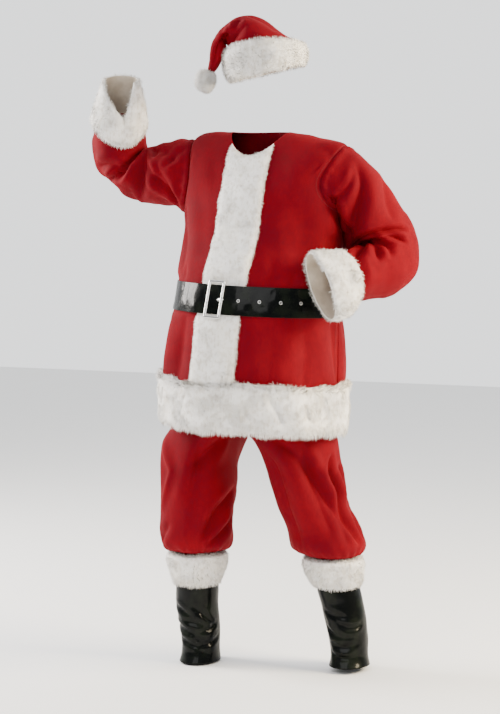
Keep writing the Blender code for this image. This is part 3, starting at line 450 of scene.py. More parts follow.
jacket = {
    "cloth": 0.002, "pitch": 0.006,
    "lumps": ((0.0022, 0.45, 0.075, 5), (0.0010, 0.6, 0.030, 6)), "skirtWave": 0.006,
    "blouse": (0.004, 0.070, 0.028),  # how far the cloth bags out over the belt, how high above it, half its height
    "beltReach": (0.037, 0.060), "seamDent": 0.0016, "seamDentHalf": 0.006,
    "armpit": 6, "armMiddle": 7, "tip": 8, "neck": 10, "armholeWide": math.radians(34), "seam": 0.0003,
    # zRight zLeft zFront zBack right left front back shift line square, from hem to neck
    "levels": (
        (-0.745, -0.782, -0.768, -0.768, 0.238, 0.249, 0.24, 0.19, -0.024, -0.026, 2.3),
        (-0.632, -0.664, -0.651, -0.65, 0.237, 0.25, 0.238, 0.178, -0.022, -0.0245, 2.3),
        (-0.54, -0.56, -0.555, -0.55, 0.23, 0.247, 0.234, 0.165, -0.018, -0.0175, 2.3),
        (-0.428, -0.447, -0.44, -0.435, 0.209, 0.234, 0.222, 0.15, -0.012, -0.0085, 2.3),
        (-0.34, -0.35, -0.345, -0.345, 0.212, 0.237, 0.19, 0.14, -0.006, -0.001, 2.3),
        (-0.262, -0.265, -0.262, -0.262, 0.219, 0.243, 0.155, 0.133, 0, 0.004, 2.3),
        (-0.205, -0.205, -0.207, -0.205, 0.221, 0.244, 0.14, 0.128, 0, 0.004, 2.3),
        (-0.11, -0.118, -0.16, -0.14, 0.222, 0.249, 0.126, 0.12, 0, 0.004, 2.2),
        (-0.008, -0.034, -0.118, -0.07, 0.204, 0.25, 0.106, 0.096, 0, 0.002, 2.1),
        (0.016, -0.008, -0.085, -0.024, 0.146, 0.165, 0.09, 0.076, 0, 0.001, 2),
        (0.014, 0.008, -0.055, 0.014, 0.085, 0.085, 0.072, 0.062, 0, 0, 2),
    ),
    # angle round the body and level of each place, then half width, depth and lip in mm
    "folds": (
        (-152, 6.3, -147, 5.4, -140, 4.6, -134, 3.7, 26, 9, 3),
        (-168, 6, -162, 5.2, -158, 4.4, 18, 6, 2),
        (-116, 2.75, -116, 1.9, -119, 0.9, 34, 9, 3),
        (-146, 2.7, -150, 1.8, -150, 0.6, 26, 8, 4),
        (-34, 2.75, -31, 2, -33, 0.8, 30, 8, 3),
        (-58, 2.6, -55, 2, -57, 1.3, 30, 4, 1),
        (-5, 2.7, -3, 1.8, 2, 0.5, 24, 8, 3),
        (-9, 6.9, -5, 6, 0, 5.3, 2, 4.6, 18, 13, 5),
        (-20, 6.6, -12, 5.8, -6, 5, 22, 8, 3),
        (-58, 6.4, -48, 5.2, -40, 4, 40, 6, 2),
        (-30, 8.2, -18, 7.4, -9, 6.6, 20, 6, 3),
        (-150, 7.8, -157, 7.1, -156, 6.4, 14, 5, 2),
        (-128, 4, -128, 3.6, -129, 3.35, 14, 5, 2),
        (-62, 4.1, -60, 3.7, -60, 3.35, 16, 5, 2),
        (-30, 3.9, -28, 3.6, -27, 3.35, 13, 6, 2),
        (-44, 3.75, -44, 3.5, -43, 3.35, 12, 4, 2),
        (30, 6.4, 38, 5.4, 44, 4.2, 24, 9, 3),
        (70, 7.2, 76, 6, 80, 4.6, 32, 7, 2),
        (118, 7, 112, 5.8, 108, 4.4, 30, 7, 2),
        (150, 6.5, 144, 5.4, 140, 4.2, 24, 9, 3),
        (60, 3.9, 60, 3.6, 61, 3.35, 14, 5, 2),
        (95, 4, 96, 3.6, 95, 3.35, 14, 6, 2),
        (125, 3.9, 125, 3.6, 124, 3.35, 13, 5, 2),
        (48, 2.7, 45, 1.8, 46, 0.5, 28, 9, 4),
        (88, 2.7, 90, 1.8, 88, 0.6, 32, 8, 3),
        (128, 2.7, 132, 1.8, 130, 0.5, 28, 9, 4),
        (162, 2.6, 165, 1.7, 168, 0.6, 24, 8, 3),
    ),
}
belt = {
    "width": 0.076, "thick": 0.0025, "height": -0.433, "slope": -0.05, "gap": 0.0010, "lap": 0.0029,
    "lapX": (0.026, 0.076), "tailEnd": -0.104, "buckleX": -0.008, "round": 300, "across": 13,
    "lumps": ((0.0011, 0.35, 0.040, 61), (0.0006, 1, 0.016, 62)), "flat": (0.076, 1.66),
}
frontBand = {
    "half": 0.063, "thick": 0.0150, "pressed": 0.0036, "lift": 0.0005, "across": 25,
    "pressedTo": (0.038, 0.078),  # distances from the belt's middle where it starts and stops to swell
    "lean": (2.2, 1.2),  # of the pile over its right and left edges
    "hair": dict(pile, seed=21, perArea=250000, tuft=0.026, length=0.010, width=0.0012, swirl=0.16, stray=0.20,
                 sink=0.002, droop=0.25),
}


def bodyPoint(theta, v):
    columns = np.moveaxis(through(jacket["levels"], v), -1, 0)
    zRight, zLeft, zFront, zBack, right, left, front, back, shift, _, square = columns
    c, s = np.cos(theta), np.sin(theta)
    x = shift + np.where(c > 0, left, right) * np.sign(c) * np.abs(c) ** (2 / square)
    y = np.where(s > 0, back, front) * np.sign(s) * np.abs(s) ** (2 / square)
    z = np.where(c > 0, zLeft, zRight) * c * c + np.where(s > 0, zBack, zFront) * s * s
    return np.stack((x, y, z), -1)


def bodyNormal(theta, v):
    around = bodyPoint(theta + 0.02, v) - bodyPoint(theta - 0.02, v)
    return unit(np.cross(around, bodyPoint(theta, v + 0.04) - bodyPoint(theta, v - 0.04)))


def thetaAtX(v, x):
    row = through(jacket["levels"], v)
    off = row[..., 9] + x - row[..., 8]
    side = np.where(off > 0, row[..., 5], row[..., 4])
    share = np.minimum(np.abs(off) / side, 1.0) ** (row[..., 10] / 2)
    return -np.arccos(np.sign(off) * share)


def levelAtZ(theta, z):
    low, high = np.zeros(np.shape(theta)), np.full(np.shape(theta), float(jacket["tip"]))
    for _ in range(26):
        v = (low + high) / 2
        under = bodyPoint(theta, v)[..., 2] < z
        low, high = np.where(under, v, low), np.where(under, high, v)
    return (low + high) / 2


def sideEdge(v):
    row = through(jacket["levels"], v)
    seam = np.arcsin((jacket["seam"] / 2 / row[..., 6]) ** (row[..., 10] / 2))
    hole = jacket["armholeWide"] * np.sqrt(np.clip(1 - (v - jacket["armMiddle"]) ** 2, 0, 1))
    return np.maximum(seam, hole)


def beltMiddle(x):
    return belt["height"] + belt["slope"] * x


def armholeLine(side, count):
    beta = np.linspace(0, 2 * math.pi, count)
    spread = jacket["armholeWide"] * np.sin(beta)
    theta = -spread if side > 0 else -math.pi + spread
    return theta, jacket["armMiddle"] - np.cos(beta)


def bodyFolds(theta, v):
    # how far the cloth stands off its plain form
    points = bodyPoint(theta, v)

    def surface(places):
        return bodyPoint(np.radians(places[:, 0]), places[:, 1])
    depth = folded(points, jacket["folds"], surface)
    depth += uneven(points, jacket["lumps"])
    skirt = ease(jacket["levels"][1][2] + 0.10 - points[..., 2], 0.0, 0.16)
    wave = np.sin(7 * theta + 0.8) * 0.6 + np.sin(11 * theta + 2.1) * 0.4
    depth += skirt * jacket["skirtWave"] * wave
    high, overBelt, half = jacket["blouse"]
    blouse = np.exp(-((points[..., 2] - beltMiddle(points[..., 0]) - overBelt) / half) ** 2)
    depth += high * blouse * (0.6 + 0.4 * ripple(points, 0.06, 7))
    nearBelt = 1 - ease(np.abs(points[..., 2] - beltMiddle(points[..., 0])), *jacket["beltReach"])
    depth *= 1 - nearBelt
    for side in (1, -1):
        rim = bodyPoint(*armholeLine(side, 49))
        off, _ = toLine(points, rim)
        depth *= ease(off, -0.004, 0.024)
        depth -= jacket["seamDent"] * np.exp(-(off / jacket["seamDentHalf"]) ** 2) * (off > 0.0004)
    return depth * ease(jacket["neck"] - v, 0.0, 0.5)


def onBody(theta, v, lift=0.0):
    return bodyPoint(theta, v) + bodyNormal(theta, v) * (bodyFolds(theta, v) + lift)[..., None]


def bodyLevels(pitch):
    below = np.linspace(0, jacket["armpit"], int(0.565 / pitch))[:-1]
    hole = jacket["armMiddle"] - np.cos(np.linspace(0, math.pi, int(0.24 / pitch)))
    above = np.linspace(jacket["tip"], jacket["neck"], int(0.13 / pitch))[1:]
    return np.concatenate((below, hole, above))


def panelGrid(side, pitch):
    v = bodyLevels(pitch)
    edge = sideEdge(v)
    if side == 0:
        first, last, count = edge, math.pi - edge, int(0.66 / pitch)
    else:
        first = thetaAtX(v, np.full(v.shape, side * jacket["seam"] / 2))
        last = -edge if side > 0 else -math.pi + edge
        count = int(0.40 / pitch)
    share = np.linspace(0, 1, count)
    theta = first[:, None] * (1 - share) + last[:, None] * share
    return theta, np.repeat(v[:, None], count, 1)


def makeJacket():
    plan = {
        "jacket_front_right": ("jacketFrontRight", -1, (0.36, 0.80), 0.24),
        "jacket_front_left": ("jacketFrontLeft", 1, (0.38, 0.80), 0.25),
        "jacket_back": ("jacketBack", 0, (0.66, 0.80), 0.45),
    }
    for node, (name, side, flat, area) in plan.items():
        theta, v = panelGrid(side, jacket["pitch"])
        grid = onBody(theta, v)
        makeCloth(name, node, grid, gridFaces(grid, False), "flannel", jacket["cloth"],
                  bodyNormal(theta, v))


makeJacket()
print("jacket panels made")


# fur on the jacket

def makeFrontBand():
    look = frontBand
    z = np.concatenate((np.linspace(-0.658, -0.10, 118), np.linspace(-0.095, -0.058, 10)))
    front = np.full(z.shape, -math.pi / 2)
    v = np.where(z < -0.119, levelAtZ(front, z), 8 + (z + 0.118) / 0.0315)
    v = np.maximum.accumulate(np.clip(v, 0.9, 9.97))
    share = np.linspace(-1, 1, look["across"])
    level, side = crossed(v, share)
    theta = thetaAtX(level, side * look["half"])
    under = onBody(theta, level)
    normal = bodyNormal(theta, level)
    off = np.abs(under[..., 2] - beltMiddle(under[..., 0]))
    thick = look["pressed"] + (look["thick"] - look["pressed"]) * ease(off, *look["pressedTo"])
    thick = thick * np.clip(1 - np.abs(share) ** 6, 0.0, 1)[None, :] ** 0.5
    ends = ease(np.arange(len(v)), -1, 3) * ease(len(v) - 1 - np.arange(len(v)), -1, 3)
    thick = np.maximum(thick * ends[:, None], 0.0012)
    edgeward = unit(np.cross(normal, np.array((0, 0, 1.0)))) * -1
    outward = share ** 5 * np.where(share < 0, *look["lean"])
    comb = np.array((0, 0, -0.75)) + edgeward * outward[None, :, None] + 0 * normal
    press = (off < 0.040)[..., None]
    furTrim("frontFurBand", "front_fur_band", under, normal, thick, False, np.where(press, comb * 2.5, comb),
            look["hair"])


hemFur = {
    "thick": 0.0160, "down": 30, "around": 340, "from": -0.055, "to": 1.02, "turnedUnder": 0.11,
    "partDeep": 0.42, "partHalf": 0.0055,
    # angle and level along each parting of the pile
    "partings": (((-104, 0.85), (-109, 0.5), (-112, 0.15)), ((-88, 0.80), (-82, 0.45), (-79, 0.20)),
                 ((-72, 0.55), (-67, 0.30)), ((-58, 0.85), (-50, 0.45), (-47, 0.25)), ((-34, 0.70), (-29, 0.35)),
                 ((-131, 0.80), (-135, 0.40)), ((-150, 0.75), (-147, 0.35)), ((-15, 0.80), (-19, 0.4)),
                 ((40, 0.80), (46, 0.3)), ((75, 0.70), (70, 0.3)), ((110, 0.80), (117, 0.35)),
                 ((150, 0.7), (146, 0.3))),
    "hair": dict(pile, seed=31, tuft=0.030, length=0.0185, stand=0.32, swirl=0.26, stray=0.14, sink=0.0025,
                 droop=0.35),
}


def makeHemFur():
    look = hemFur
    rows = np.linspace(look["from"], look["to"], look["down"])
    theta = np.linspace(-math.pi / 2, 1.5 * math.pi, look["around"], endpoint=False)
    theta, v = np.meshgrid(theta, rows)
    wave = 0.018 * np.sin(5 * theta + 1.0) + 0.014 * np.sin(13 * theta)
    v = np.where(v > 0.8, v + wave, v)
    under = onBody(theta, np.maximum(v, 0)) + np.minimum(v, 0)[..., None] * np.array((0, 0, look["turnedUnder"]))
    normal = bodyNormal(theta, np.maximum(v, 0))
    share = (rows - rows[0]) / (rows[-1] - rows[0])
    thick = look["thick"] * np.clip(1 - np.abs(2 * share - 1) ** 5, 0.02, 1) ** 0.5
    thick = thick[:, None] * (1 + 0.12 * ripple(under, 0.05, 32))
    for places in look["partings"]:
        line = through(places, np.linspace(0, len(places) - 1, 12))
        off, along = toLine(under, onBody(np.radians(line[:, 0]), line[:, 1]))
        part = look["partDeep"] * np.exp(-(off / look["partHalf"]) ** 2)
        thick = thick * (1 - part * np.sin(math.pi * along) ** 0.5)
    comb = np.array((0, 0, -1.0)) + 0 * normal
    comb[-4:] = comb[-4:] * -0.3 + normal[-4:] * 0.3
    furTrim("hemFurBand", "hem_fur_band", under, normal, thick, True, comb, look["hair"])


# sleeves and cuffs

raisedSleeve = {
    "node": "sleeve_right", "name": "sleeveRight", "cuffNode": "cuff_fur_right", "cuffName": "cuffFurRight",
    "side": -1, "shoulder": (-0.215, 0.000, -0.095), "elbow": (-0.440, 0.010, -0.092),
    "wrist": (-0.395, -0.075, 0.157),
    "crease": 0.100, "twist": math.radians(-18), "sense": -1, "cap": 0.010,
    "notch": True, "notchAt": math.radians(228), "notchDeep": 0.100, "seamDip": 0.040, "end": 9, "cuffFrom": 8,
    "around": 108, "pitch": 0.0048, "flat": (0.52, 0.52), "area": 0.215,
    # slide turn near far half fur, from the armhole to the mouth of the cuff
    "rows": (
        (-0.095, 0, -0.022, 0.153, 0.08, 0),
        (-0.06, 0, -0.018, 0.154, 0.078, 0),
        (-0.028, 0, -0.012, 0.151, 0.075, 0),
        (0, 0.12, -0.004, 0.143, 0.073, 0),
        (0, 0.34, 0.004, 0.136, 0.071, 0),
        (0, 0.58, 0.005, 0.139, 0.07, 0),
        (0, 0.8, 0.004, 0.145, 0.069, 0),
        (0.006, 1, 0.002, 0.15, 0.069, 0),
        (0.062, 1, 0.004, 0.15, 0.068, 0.005),
        (0.08, 1, 0.007, 0.149, 0.066, 0.012),
        (0.099, 1, 0.011, 0.143, 0.062, 0.013),
        (0.132, 1, 0.016, 0.132, 0.055, 0.013),
        (0.166, 1, 0.021, 0.121, 0.048, 0.012),
        (0.194, 1, 0.024, 0.112, 0.044, 0.008),
    ),
    # row and angle of each place, then half width, depth and lip in mm
    "folds": (
        (4.3, 150, 3.9, 110, 4.1, 80, 4.4, 56, 4.6, 30, 20, 17, 5),
        (6.4, 160, 5.6, 135, 6, 112, 6.3, 88, 6.4, 66, 13, 11, 5),
        (8.4, 130, 7.7, 101, 7, 68, 6.9, 40, 13, 13, 6),
        (9.2, 118, 8.9, 88, 8.2, 52, 7.9, 25, 14, 9, 4),
        (4, 165, 3.2, 140, 2.9, 120, 15, 14, 3),
        (3.3, 104, 2.4, 79, 1.5, 58, 0.9, 46, 14, 11, 6),
        (3.2, 150, 2, 132, 1, 118, 24, 8, 3),
        (0.5, 142, 1.2, 118, 1.7, 100, 11, 6, 3),
        (1.6, 70, 1, 50, 0.6, 30, 10, 6, 3),
        (2.4, 104, 1.8, 84, 1.2, 70, 14, 7, 3),
        (5, 60, 5.1, 30, 5, 5, 16, 7, 3),
        (7.2, 12, 8.4, 4, 9.4, -4, 22, -10, 0),
        (4.4, 200, 4.1, 240, 4.3, 285, 4.6, 320, 18, 14, 5),
        (6, 198, 6.3, 235, 6.6, 275, 13, 10, 4),
        (3.4, 205, 2.4, 240, 1.6, 270, 16, 11, 4),
        (7.6, 200, 7.6, 240, 7.2, 290, 13, 10, 4),
        (1.3, 290, 0.8, 320, 12, 6, 3),
    ),
}
bentSleeve = {
    "node": "sleeve_left", "name": "sleeveLeft", "cuffNode": "cuff_fur_left", "cuffName": "cuffFurLeft",
    "side": 1, "shoulder": (0.240, 0.010, -0.095), "elbow": (0.371, 0.095, -0.3375),
    "wrist": (0.250, -0.158, -0.397),
    "crease": 0.133, "twist": math.radians(117), "sense": 1, "cap": 0.005,
    "notch": False, "notchAt": 0.0, "notchDeep": 0.0, "seamDip": 0.0, "end": 11, "cuffFrom": 9,
    "around": 108, "pitch": 0.0048, "flat": (0.52, 0.62), "area": 0.25,
    "rows": (
        (-0.13, 0, -0.01, 0.155, 0.071, 0),
        (-0.095, 0, -0.012, 0.155, 0.071, 0),
        (-0.06, 0, -0.012, 0.155, 0.071, 0),
        (-0.026, 0, -0.007, 0.155, 0.072, 0),
        (0, 0.12, -0.001, 0.158, 0.073, 0),
        (0, 0.34, 0.004, 0.169, 0.073, 0),
        (0, 0.58, 0.006, 0.172, 0.072, 0),
        (0, 0.8, 0.007, 0.158, 0.07, 0),
        (0.022, 1, 0.012, 0.142, 0.065, 0),
        (0.086, 1, 0.014, 0.138, 0.056, 0.006),
        (0.1, 1, 0.011, 0.146, 0.053, 0.012),
        (0.116, 1, 0.007, 0.156, 0.05, 0.013),
        (0.136, 1, 0.002, 0.166, 0.046, 0.013),
        (0.159, 1, -0.003, 0.17, 0.042, 0.012),
        (0.18, 1, -0.007, 0.168, 0.039, 0.008),
    ),
    "folds": (
        (1.2, 140, 1.8, 100, 1.9, 50, 11, 6, 3),
        (1.2, 150, 2.4, 126, 3.6, 92, 5.1, 45, 20, 14, 5),
        (0.8, 66, 2.4, 60, 4, 52, 5, 44, 11, 13, 5),
        (4.4, 20, 5.4, 26, 7, 30, 8.6, 30, 24, -18, 0),
        (5.7, 40, 5.4, 76, 5.8, 112, 6.3, 158, 10, 12, 6),
        (6.2, 60, 7, 88, 7.4, 108, 9, 8, 4),
        (6.7, 108, 7, 128, 7.3, 150, 9, 8, 4),
        (7, 40, 8.6, 74, 9.6, 110, 10, 140, 15, 12, 5),
        (8.2, 40, 10.2, 88, 10.9, 130, 10.9, 185, 14, 11, 5),
        (7.5, 88, 8.4, 112, 9.2, 138, 12, 8, 4),
        (2.7, 195, 4.2, 162, 5.3, 148, 22, 6, 2),
        (5.4, 330, 5.2, 290, 5.5, 250, 6, 215, 14, 13, 5),
        (7.2, 325, 7.6, 285, 7.8, 240, 12, 10, 4),
        (4.2, 320, 3.2, 280, 2.2, 250, 18, 11, 4),
        (1.4, 220, 1.9, 260, 1.9, 310, 12, 6, 3),
        (8.6, 255, 10, 258, 11.4, 262, 30, -7, 0),
    ),
}
bothSleeves = {
    "notchSides": (math.radians(110), math.radians(42)), "dipHalf": math.radians(100), "offBody": (0.004, 0.008),
    "foldScale": (0.9, 1.35, 1.2), "lumps": ((0.0016, 1, 0.045, 51), (0.0008, 1, 0.020, 52)),
    "roll": 0.0035, "rollAt": 0.009, "rollHalf": 0.007,  # of the sleeve head, from the armhole seam
    "pucker": 0.0011, "puckers": 19, "puckersReach": 0.022, "insideCuff": 0.002,
}
cuffFur = {
    "down": 26, "around": 150,
    "hair": dict(pile, seed=41, tuft=0.026, length=0.0125, swirl=0.46, stray=0.34, droop=0.30),
}


def clearOfBody(points, gap):
    # pushes points off the jacket's body, along the level
    theta = np.arctan2(points[..., 1], points[..., 0])
    top = bodyPoint(theta, np.full(theta.shape, float(jacket["tip"])))[..., 2]
    row = through(jacket["levels"], levelAtZ(theta, points[..., 2]))
    x, y = points[..., 0] - row[..., 8], points[..., 1]
    side = np.where(x > 0, row[..., 5], row[..., 4])
    depth = np.where(y > 0, row[..., 7], row[..., 6])
    n = row[..., 10]
    ratio = ((np.abs(x) / side) ** n + (np.abs(y) / depth) ** n) ** (1 / n)
    reach = np.hypot(x, y)
    scale = np.maximum(reach / ratio + gap, reach) / reach
    scale = np.where(points[..., 2] > top - 0.004, 1.0, scale)
    return np.stack((row[..., 8] + x * scale, y * scale, points[..., 2]), -1)


def armRings(arm, around):
    shoulder, elbow, wrist = (np.array(arm[k]) for k in ("shoulder", "elbow", "wrist"))
    upper, fore = unit(elbow - shoulder), unit(wrist - elbow)
    bend = math.acos(upper @ fore)
    out = -unit(fore - upper * (fore @ upper))
    hinge = np.cross(out, upper)
    crease = elbow + unit(fore - upper) * arm["crease"]
    turn = np.arange(around) / around
    alpha = arm["twist"] + arm["sense"] * 2 * math.pi * turn
    start, end = arm["rows"][arm["cuffFrom"]][0], arm["rows"][-1][0]
    rings = []
    for slide, share, near, far, half, fur in arm["rows"]:
        psi = share * bend
        along = upper * math.cos(psi) - out * math.sin(psi)
        outward = out * math.cos(psi) + upper * math.sin(psi)
        slides = np.full(around, slide)
        off = (alpha - arm["notchAt"] + math.pi) % (2 * math.pi) - math.pi
        if arm["notch"] and slide > start:
            reach = np.where(off > 0, *bothSleeves["notchSides"])
            cut = arm["notchDeep"] * np.clip(1 - np.abs(off) / reach, 0, 1)
            slides = start + (slide - start) * (end - cut - start) / (end - start)
        dip = np.where(np.abs(off) < bothSleeves["dipHalf"], np.cos(off * 0.9) ** 2, 0.0) * arm["seamDip"]
        slides = slides - dip * ease(share, 0.3, 1.0) * (1 - ease((slide - start) / (end - start), 0.0, 1.0))
        reach = (near + far) / 2 + np.cos(alpha)[:, None] * (far - near) / 2
        points = crease + along * slides[:, None] + outward * reach + hinge * np.sin(alpha)[:, None] * half
        least, more = bothSleeves["offBody"]
        gap = least + more * ease(-points[:, 2], 0.32, 0.38) + fur * 1.1
        rings.append(clearOfBody(points, gap))
    theta, v = armholeLine(arm["side"], around + 1)
    rim = bodyPoint(theta, v)[:-1] + bodyNormal(theta, v)[:-1] * 0.0005
    up = unit(np.array((0.5 * arm["side"], 0, 0.85)))
    full = 0.5 - 0.5 * np.cos(2 * math.pi * turn)
    cap = clearOfBody((rim + rings[0]) / 2 + up * (arm["cap"] * full ** 1.5)[:, None], 0.004)
    return np.array([rim, cap] + rings)


def evenRows(rings, first, last, pitch):
    # places along a tube, evenly apart on its longer side
    places = [first]
    for i in range(int(first), int(math.ceil(last))):
        run = np.linalg.norm(rings[i + 1] - rings[i], axis=1)
        steps = max(2, int(np.percentile(run, 80) / pitch))
        places += list(np.linspace(i, min(i + 1, last), steps + 1)[1:])
    return np.array(places)


def makeSleeve(arm):
    rings = armRings(arm, arm["around"])
    last = arm["end"] + 2
    rows = evenRows(rings, 0, last, arm["pitch"])
    grid = through(rings, rows)
    normal = facing(grid, True)

    def surface(places):
        ring = through(rings, places[:, 0])
        k = (places[:, 1] / 360 * arm["around"]) % arm["around"]
        i = k.astype(int)
        t = (k - i)[:, None]
        line = np.arange(len(k))
        return ring[line, i] * (1 - t) + ring[line, (i + 1) % arm["around"]] * t
    look = bothSleeves
    depth = folded(grid, arm["folds"], surface, look["foldScale"]) + uneven(grid, look["lumps"])
    rim, _ = toLine(grid, np.concatenate((rings[0], rings[0][:1])))
    roll = look["roll"] * np.exp(-((rim - look["rollAt"]) / look["rollHalf"]) ** 2)
    turn = np.arange(arm["around"]) / arm["around"] * 2 * math.pi
    pucker = look["pucker"] * np.sin(turn * look["puckers"] + 1.5 * ripple(grid, 0.05, 53))
    pucker = pucker * np.exp(-(rim / look["puckersReach"]) ** 2)
    depth = depth * ease(rim, 0.0, 0.030) + (roll + pucker) * ease(rim, 0.0, 0.004)
    inCuff = ease(rows, arm["cuffFrom"] + 1.4, arm["cuffFrom"] + 2.2)[:, None]
    depth = depth * (1 - inCuff) - look["insideCuff"] * inCuff
    makeCloth(arm["name"], arm["node"], grid + normal * depth[..., None], gridFaces(grid, True), "flannel",
              jacket["cloth"], normal)


def makeCuff(arm):
    rings = armRings(arm, cuffFur["around"])
    first, last = arm["cuffFrom"] + 2, len(rings) - 1
    rows = np.linspace(first, last, cuffFur["down"])
    under = through(rings, rows)
    normal = facing(under, True)
    fur = through([[row[5]] for row in arm["rows"]], rows - 2)[:, 0]
    share = np.linspace(0, 1, len(rows))
    fur = np.maximum(fur, 0.011 * ease(share, 0, 0.12)) * roundedEnds(share)
    thick = fur[:, None] * (1 + 0.16 * ripple(under, 0.035, 42 + arm["side"]))
    along = unit(np.gradient(under, axis=0))
    comb = along * -0.55 + np.array((0, 0, -0.25))
    comb[-3:] = along[-3:] * 0.5
    look = dict(cuffFur["hair"], seed=cuffFur["hair"]["seed"] + 3 * arm["side"])
    furTrim(arm["cuffName"], arm["cuffNode"], under, normal, thick, True, comb, look)


for arm in (raisedSleeve, bentSleeve):
    makeSleeve(arm)
print("sleeves made")


# belt and buckle

def beltBase(points, v):
    off = np.abs(points[..., 0] - through(jacket["levels"], v)[..., 9])
    over = 1 - ease(off, frontBand["half"] + 0.002, frontBand["half"] + 0.040)
    trim = (frontBand["lift"] + frontBand["pressed"]) * over
    return np.where(points[..., 1] > 0, belt["gap"], belt["gap"] + trim)


def beltPlace(theta, climb, share, lift):
    middle = bodyPoint(theta, np.full(theta.shape, 3.0))
    v = levelAtZ(theta, beltMiddle(middle[..., 0]) + share * belt["width"] / 2)
    point = bodyPoint(theta, v)
    normal = bodyNormal(theta, v) * (1, 1, 0)
    return point + unit(normal) * (beltBase(point, v) + climb * belt["lap"] + lift)[..., None], unit(normal)


def makeBelt():
    at3 = np.array(3.0)
    start = float(thetaAtX(at3, -0.020))
    end = float(thetaAtX(at3, belt["tailEnd"])) - 2 * math.pi
    theta = np.linspace(start, end, belt["round"])
    x = bodyPoint(theta, np.full(theta.shape, 3.0))[:, 0]
    turned = ease(-theta, 2 * math.pi, 2 * math.pi + 0.2)
    climb = turned * np.where(theta < -2.5 * math.pi, 1.0, 1 - ease(x, *belt["lapX"]))
    share = np.sin(np.linspace(-math.pi / 2, math.pi / 2, belt["across"]))
    theta, shares = np.meshgrid(theta, share)
    climb = np.repeat(climb[None, :], len(share), 0)
    point, normal = beltPlace(theta, climb, shares, np.full(theta.shape, belt["thick"]))
    middle = 1 - np.abs(shares) ** 4
    point = point + normal * (np.abs(uneven(point, belt["lumps"])) * middle)[..., None]
    made = makeCloth("beltStrap", "belt_strap", point, gridFaces(point, False), "belt", belt["thick"],
                     normal)
    edge = made.modifiers.new("edges", "BEVEL")
    edge.width = 0.0006
    edge.segments = 2
    edge.limit_method = "ANGLE"
    edge.angle_limit = math.radians(60)


buckle = {"width": 0.050, "height": 0.102, "bar": 0.008, "thick": 0.004, "swell": 0.0009, "gap": 0.0012,
          "corner": 0.0065, "round": 10}


def buckleAxes():
    at3 = np.array([3.0])
    theta = thetaAtX(at3, np.array([belt["buckleX"]])) * np.ones(3)
    one = np.ones(3)
    (lower, centre, upper), _ = beltPlace(theta, one, np.array((-1.0, 0.0, 1.0)), one * belt["thick"])
    aside = thetaAtX(at3, np.array([belt["buckleX"] + 0.01]))
    beside, _ = beltPlace(aside, np.ones(1), np.zeros(1), np.ones(1) * belt["thick"])
    up = unit(upper - lower)
    outward = unit(np.cross(beside[0] - centre, up))
    return centre + outward * buckle["gap"], np.cross(up, outward), up, outward


def makeBuckle():
    place, across, up, outward = buckleAxes()
    look = buckle
    # section of one bar: how far out from its inner edge, and how far off the belt
    a = np.arange(look["round"]) / look["round"] * 2 * math.pi
    reach, height = (0.5 + 0.5 * np.sign(w) * np.abs(w) ** power
                     for w, power in ((np.cos(a), 0.45), (np.sin(a), 0.60)))
    turn = (math.pi / 2 * (np.arange(4)[:, None] + np.arange(7) / 6)).reshape(-1, 1)
    corners = np.repeat(((1, 1), (-1, 1), (-1, -1), (1, -1)), 7, 0) * (
        look["width"] / 2 - look["corner"], look["height"] / 2 - look["corner"])
    r = look["corner"] - look["bar"] * (1 - reach)
    x, z = corners[:, :1] + np.cos(turn) * r, corners[:, 1:] + np.sin(turn) * r
    rise = height * (look["thick"] + look["swell"] * np.sin(math.pi * reach))
    grid = place + x[..., None] * across + z[..., None] * up + rise[None, :, None] * outward
    made = makePiece("buckleFrame", grid, gridFaces(grid, True, True).tolist(), "silver")
    smooth = made.modifiers.new("smooth", "SUBSURF")
    smooth.levels = smooth.render_levels = 1
    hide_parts("buckle_frame")


makeBelt()
makeBuckle()
print("belt and buckle made")

eyelet = {"count": 6, "step": 0.055, "first": 0.0115, "radius": 0.0045, "hole": 0.0024, "thick": 0.0011,
          "sink": 0.0009}


def makeEyelets():
    at3 = np.array([3.0])
    line = float(through(jacket["levels"], at3)[0, 9])
    theta = np.linspace(float(thetaAtX(at3, np.array([belt["buckleX"]]))[0]), 0.35, 500)
    climb = 1 - ease(bodyPoint(theta, np.full(theta.shape, 3.0))[:, 0], *belt["lapX"])
    lift = belt["thick"] + eyelet["sink"]
    point, normal = beltPlace(theta, climb, np.zeros(theta.shape), np.full(theta.shape, lift))
    lengths = travelled(point)
    start = np.interp(line + belt["buckleX"] + eyelet["first"], point[:, 0], lengths)
    around, tube = (np.arange(count)[:, None] / count * 2 * math.pi for count in (24, 8))
    reach = (eyelet["radius"] * (1 + np.cos(tube)) + eyelet["hole"] * (1 - np.cos(tube))) / 2
    rings = []
    for k in range(eyelet["count"]):
        way = start + eyelet["step"] * k
        centre, facingOut = placeAt(way, lengths, point), unit(placeAt(way, lengths, normal))
        at, climbed = np.interp(way, lengths, theta), np.interp(way, lengths, climb)
        upper, _ = beltPlace(*(np.array([value]) for value in (at, climbed, 0.3, lift)))
        up = unit(upper[0] - centre)
        across = unit(np.cross(up, facingOut))
        spoke = across * np.cos(around) + up * np.sin(around)
        rise = np.cross(across, up) * eyelet["thick"] / 2 * (1 + np.sin(tube))
        rings.append(centre + spoke[:, None] * reach + rise)
    faces = gridFaces(rings[0], True, True)[:, [0, 3, 2, 1]]
    every = np.concatenate([faces + len(around) * len(tube) * k for k in range(len(rings))])
    made = makePiece("beltEyelets", np.array(rings), every.tolist(), "steel")
    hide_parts(*["belt_eyelet_%d" % (k + 1) for k in range(eyelet["count"])])


makeEyelets()
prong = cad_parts["buckle_prong"]
for slotItem in prong.material_slots:
    slotItem.material = materials["silver"]


# trousers

